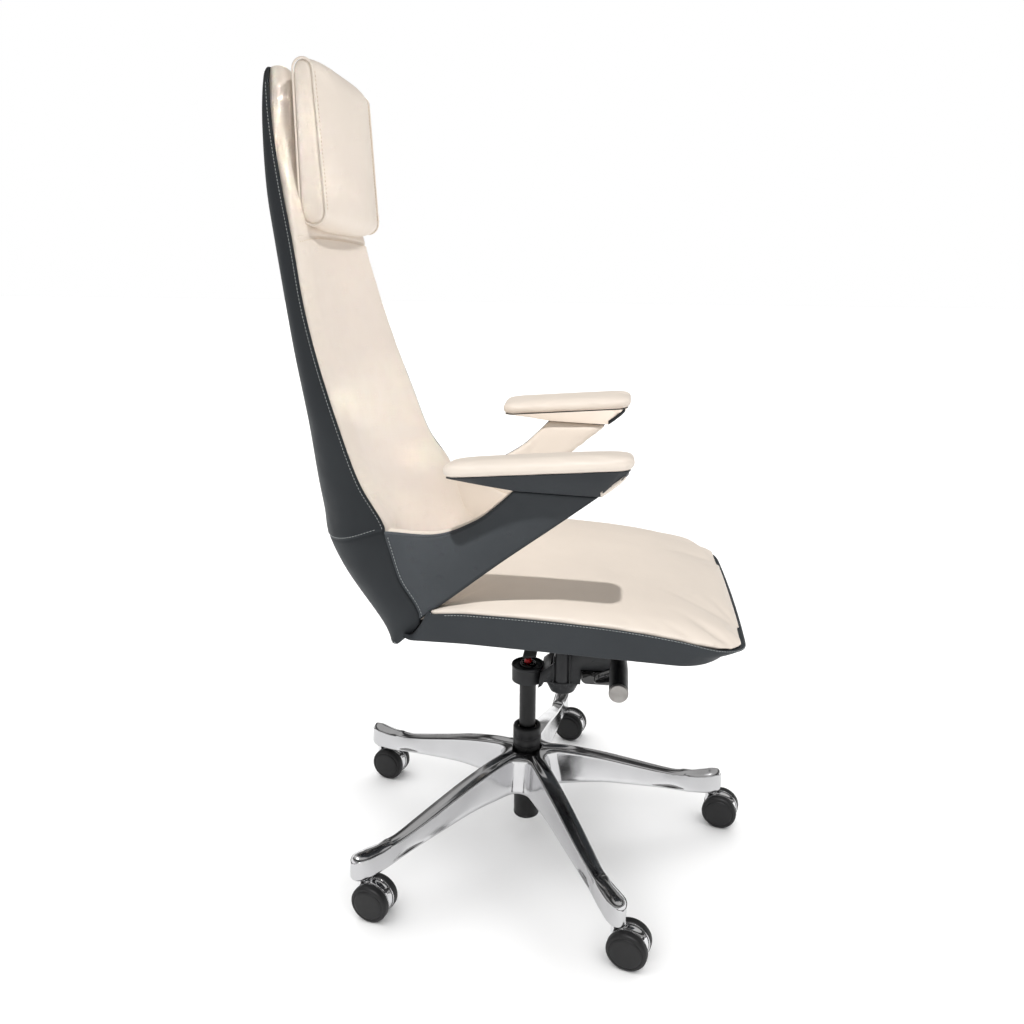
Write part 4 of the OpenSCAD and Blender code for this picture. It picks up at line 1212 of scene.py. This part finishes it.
def lining_seams():
    """A seam runs down the lining from its top edge, and a curved fold leads in to the back."""
    return [
        [wing_point(mix(0.14, 0.34, t), mix(1.0, 0.1, t), WING_T) for t in spaced(0, 1, 30)],
        [wing_point(mix(0.1, -0.04, t), mix(1.0, 0.55, t**1.6), WING_T) for t in spaced(0, 1, 30)],
    ]


def shape_of_stitches(name, points, normals):
    """Stitches as a bare mesh, so that a mirrored row can be made from it."""
    return stitches(name, points, normals, thread, "upper")


# ---------------------------------------------------------------- arm pads and headrest

def pad_under(x, y):
    return mix(PAD_REAR_Z, PAD_FRONT_Z, (PAD_Y + PAD_L / 2 - y) / PAD_L) - PAD_LEAN * (x + PAD_X)


def rounded_outline(hx, hy, r, steps=10):
    points = []
    for q in range(4):
        sx, sy = (1 if q in (0, 3) else -1), (1 if q < 2 else -1)
        for a in spaced(q * 90, q * 90 + 90, steps):
            points.append((sx * (hx - r) + r * math.cos(math.radians(a)), sy * (hy - r) + r * math.sin(math.radians(a))))
    return points


def arm_pads():
    """Rounded, crowned pads with a thin dark welt under them, on brackets with bound front edges."""
    swell = 2.0

    def ring(inset, rise):
        return [
            (x - PAD_X, y + PAD_Y, pad_under(x - PAD_X, y + PAD_Y) + rise)
            for x, y in rounded_outline(PAD_W / 2 - inset, PAD_L / 2 - inset, 22 - min(inset, 14))
        ]

    pad = loft("arm_pad_leather_right", [
        ring(9, 0.4), ring(5, 0.9), ring(2, 2.6), ring(0.4, 5.6), ring(0, 9.0), ring(0.2, 12.4), ring(1.8, 15.8),
        ring(5, 18.8 - swell * 0.6), ring(11, 20.6 - swell * 0.9), ring(20, 21.6 - swell),
    ])

    def held(x, y, z):
        return 1.0 if z < pad_under(x, y) + 2.2 else 0.0

    stuffed(pad, 4, swell + 0.6, held)
    both_sides(pad, cream, "upper", ["arm_pad"])
    welt = evenly(ring(6, 0.2), 4, closed=True)
    piping = tube("arm_pad_welt_right", welt, 0.9, slate, "upper", closed=True)
    copy = mirrored(piping, "arm_pad_welt_left")
    finish_piece(copy, slate, "upper")
    for word in ("right", "left"):
        softened(f"bracket_outer_{word}", f"bracket_leather_{word}", slate, 1.2, 25)
        softened(f"bracket_inner_{word}", f"bracket_lining_{word}", cream, 1.2, 25)
    for face, finish, slot, word in (
        (BRACKET_OUT, cream, "cream_leather", "outer"), (BRACKET_IN, slate, "slate_leather", "inner")
    ):
        binding = loft(f"bracket_binding_{word}_right", [binding_ring(face, y, z) for y, z in BRACKET_FRONT])
        both_sides(binding, finish, "upper")


def binding_ring(face, y, low):
    """Section of the strip that wraps a bracket's front edge: up its side face and under it to the seam."""
    foot, top = face
    high = pad_under(foot, y)
    side = 1 if foot > BRACKET_SEAM else -1
    share = min(0.9, 7 / (high - low))
    upper, up = mix(foot, top, share), mix(low, high, share)
    return [
        (upper + 0.8 * side, y, up), (foot + 0.8 * side, y - 0.5, low - 0.8), (BRACKET_SEAM, y - 0.5, low - 0.8),
        (BRACKET_SEAM, y, low + 1), (foot - 1.2 * side, y, low + 1), (upper - 1.2 * side, y, up),
    ]


def rest_profile(inset):
    """Side outline of the headrest: round ends joined by a sloping front and an upright rear."""
    top, low = 17.5, 22.0
    points = []
    for a in spaced(0, 180, 16):
        c, s = math.cos(math.radians(a)), math.sin(math.radians(a))
        points.append((REST_REAR - top + (top - inset) * c, REST_Z + REST_H / 2 - top + (top - inset) * s))
    upper, lower = points[-1], (REST_REAR - 2 * low + inset, REST_Z - REST_H / 2 + low)
    points += [(mix(upper[0], lower[0], t), mix(upper[1], lower[1], t)) for t in spaced(0, 1, 24)[1:-1]]
    for a in spaced(180, 360, 20):
        c, s = math.cos(math.radians(a)), math.sin(math.radians(a))
        points.append((REST_REAR - low + (low - inset) * c, REST_Z - REST_H / 2 + low + (low - inset) * s))
    first, last = points[0], points[-1]
    points += [(mix(last[0], first[0], t), mix(last[1], first[1], t)) for t in spaced(0, 1, 24)[1:-1]]
    return points


def headrest():
    """Box cushion: a band round the front, top and rear, sewn with piping to a long oval panel at each side."""
    half = REST_W / 2
    seam_x = half - 4
    rows = [(-half + 1, 11), (-half + 1.6, 7.5)]
    rows += [(x, 8 * (abs(x) / seam_x) ** 4 - 3.5) for x in spaced(-seam_x, seam_x, 34)]
    rows += [(half - 1.6, 7.5), (half - 1, 11)]
    cushion = loft("headrest_cushion", [[(x, y, z) for y, z in rest_profile(inset)] for x, inset in rows])

    def held(x, y, z):
        return 1.0 if abs(abs(x) - seam_x) < 3.5 or y > REST_REAR - 5 else 0.0

    stuffed(cushion, 4, 2.6, held)
    finish_piece(cushion, cream, "upper", ["headrest"])
    for side, word in ((-1, "right"), (1, "left")):
        path = evenly([(side * (seam_x + 0.6), y, z) for y, z in rest_profile(3.9)], 3, closed=True)
        tube(f"headrest_piping_{word}", path, 1.5, cream, "upper", closed=True, sides=10)
        front = [(side * (seam_x - 6.5), y, z) for y, z in rest_profile(1)[16:42]]
        points, normals = hugging(cushion, evenly(front, 2), 0.15)
        stitches(f"headrest_stitches_{word}", points, normals, cream_thread, "upper", pitch=5, length=3.4)


# ---------------------------------------------------------------- set

def studio():
    """Pale floor, white surroundings with grey bands for the metal to mirror, and an overhead key light."""
    floor_mesh = bpy.data.meshes.new("floor")
    reach = 30
    corners = [(-reach, -reach, 0), (reach, -reach, 0), (reach, reach, 0), (-reach, reach, 0)]
    floor_mesh.from_pydata(corners, [], [(0, 1, 2, 3)])
    floor = bpy.data.objects.new("floor", floor_mesh)
    bpy.context.scene.collection.objects.link(floor)
    pale = Shader("floor_pale", (0.93, 0.93, 0.93, 1), 0.6)
    pale.base.inputs["Specular IOR Level"].default_value = 0.1
    pale.roughness(pale.between(pale.noise(3, 2), 0.55, 0.65))
    floor_mesh.materials.append(pale.material)
    floor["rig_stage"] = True

    world = bpy.data.worlds.new("studio")
    bpy.context.scene.world = world
    world.use_nodes = True
    nodes, links = world.node_tree.nodes, world.node_tree.links
    nodes.clear()
    out = nodes.new("ShaderNodeOutputWorld")
    seen, lit = nodes.new("ShaderNodeBackground"), nodes.new("ShaderNodeBackground")
    choose, path = nodes.new("ShaderNodeMixShader"), nodes.new("ShaderNodeLightPath")
    place, split = nodes.new("ShaderNodeTexCoord"), nodes.new("ShaderNodeSeparateXYZ")
    ramp = nodes.new("ShaderNodeValToRGB")
    links.new(place.outputs["Generated"], split.inputs[0])
    links.new(split.outputs["Z"], ramp.inputs["Fac"])
    bands = [(0, 0.95), (0.05, 0.4), (0.14, 0.9), (0.26, 0.95), (0.31, 0.1), (0.54, 0.1), (0.6, 1.2), (0.8, 1.4), (1, 1.2)]
    ramp.color_ramp.elements[0].position, ramp.color_ramp.elements[1].position = bands[0][0], bands[-1][0]
    for position, _ in bands[1:-1]:
        ramp.color_ramp.elements.new(position)
    for element, (position, value) in zip(ramp.color_ramp.elements, bands):
        element.position = position
        element.color = (value, value * 0.99, value * 0.975, 1)
    links.new(ramp.outputs["Color"], lit.inputs["Color"])
    lit.inputs["Strength"].default_value = 0.44
    seen.inputs["Color"].default_value = (1, 1, 1, 1)
    links.new(path.outputs["Is Camera Ray"], choose.inputs["Fac"])
    links.new(lit.outputs[0], choose.inputs[1])
    links.new(seen.outputs[0], choose.inputs[2])
    links.new(choose.outputs[0], out.inputs["Surface"])

    def lamp(name, kind, energy, place, towards, **extra):
        data = bpy.data.lights.new(name, kind)
        data.energy = energy
        for key, value in extra.items():
            setattr(data, key, value)
        obj = bpy.data.objects.new(name, data)
        obj.location = place
        obj.rotation_mode = "QUATERNION"
        obj.rotation_quaternion = (Vector(towards) - Vector(place)).to_track_quat("-Z", "Y")
        bpy.context.scene.collection.objects.link(obj)
        return obj

    def group(name, start, inside=True):
        """Collection of the pieces whose names begin with start, or of all the others."""
        found = bpy.data.collections.new(name)
        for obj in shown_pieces():
            if obj.name.startswith(start) == inside:
                found.objects.link(obj)
        return found

    from_side, from_front = (-1.15, -0.07, 2.0), (-0.4, -1.0, 1.0)
    key = lamp("key", "SUN", 2.4, from_side, (0, 0, 0), angle=math.radians(1.6))
    key.light_linking.receiver_collection = group("lit_by_key", "back_shell", False)
    key.light_linking.blocker_collection = group("shadows_of_key", "headrest", False)
    wing_key = lamp("wing_key", "SUN", 6.0, from_side, (0, 0, 0), angle=math.radians(1.6))
    wing_key.light_linking.receiver_collection = group("lit_wings", "wing_skin")
    front = lamp("front", "SUN", 1.35, from_front, (0, 0, 0), angle=math.radians(5))
    front.light_linking.receiver_collection = group("lit_from_front", ("back_pad", "back_seam_welt", "headrest"))
    front.light_linking.blocker_collection = group("shadow_of_headrest", "headrest")
    low = lamp("low", "SUN", 2.2, (-1.0, -0.4, 0.15), (0, 0, 0), angle=math.radians(8))
    low.light_linking.receiver_collection = group("lit_from_low", "bracket_lining")
    ground = lamp("ground", "SUN", 3.6, (0, 0, 2.0), (0, 0, 0), angle=math.radians(110))
    floor_only = bpy.data.collections.new("set")
    floor_only.objects.link(floor)
    ground.light_linking.receiver_collection = floor_only
    bpy.context.scene.view_settings.view_transform = "Standard"


def camera():
    """Camera at the reference viewing angle."""
    data = bpy.data.cameras.new("camera")
    data.lens, data.sensor_width = 30.294, 36.0
    data.shift_x, data.shift_y = -0.0071, 0.0011
    data.clip_start, data.clip_end = 0.05, 100
    obj = bpy.data.objects.new("camera", data)
    yaw, pitch, roll = math.radians(-83.451), math.radians(15.367), math.radians(0.526)
    back = Vector((math.sin(yaw) * math.cos(pitch), -math.cos(yaw) * math.cos(pitch), math.sin(pitch)))
    right = (-back).cross(Vector((0, 0, 1))).normalized()
    up = right.cross(-back)
    across = right * math.cos(roll) + up * math.sin(roll)
    above = up * math.cos(roll) - right * math.sin(roll)
    turn = Matrix((across, above, back)).transposed().to_4x4()
    obj.matrix_world = Matrix.Translation(Vector((-1.33035, -0.13541, 0.94798))) @ turn
    bpy.context.scene.collection.objects.link(obj)
    bpy.context.scene.camera = obj


finish_cad_nodes()
base_casting()
column_pieces()
for number, spot in caster_places():
    caster_hood(number, spot)
    caster_wheels(number, spot)
mechanism_pieces()
lever_pieces()
seat_pieces()
back_shell()
back_pad()
wing_pieces()
arm_pads()
headrest()
camera()
studio()
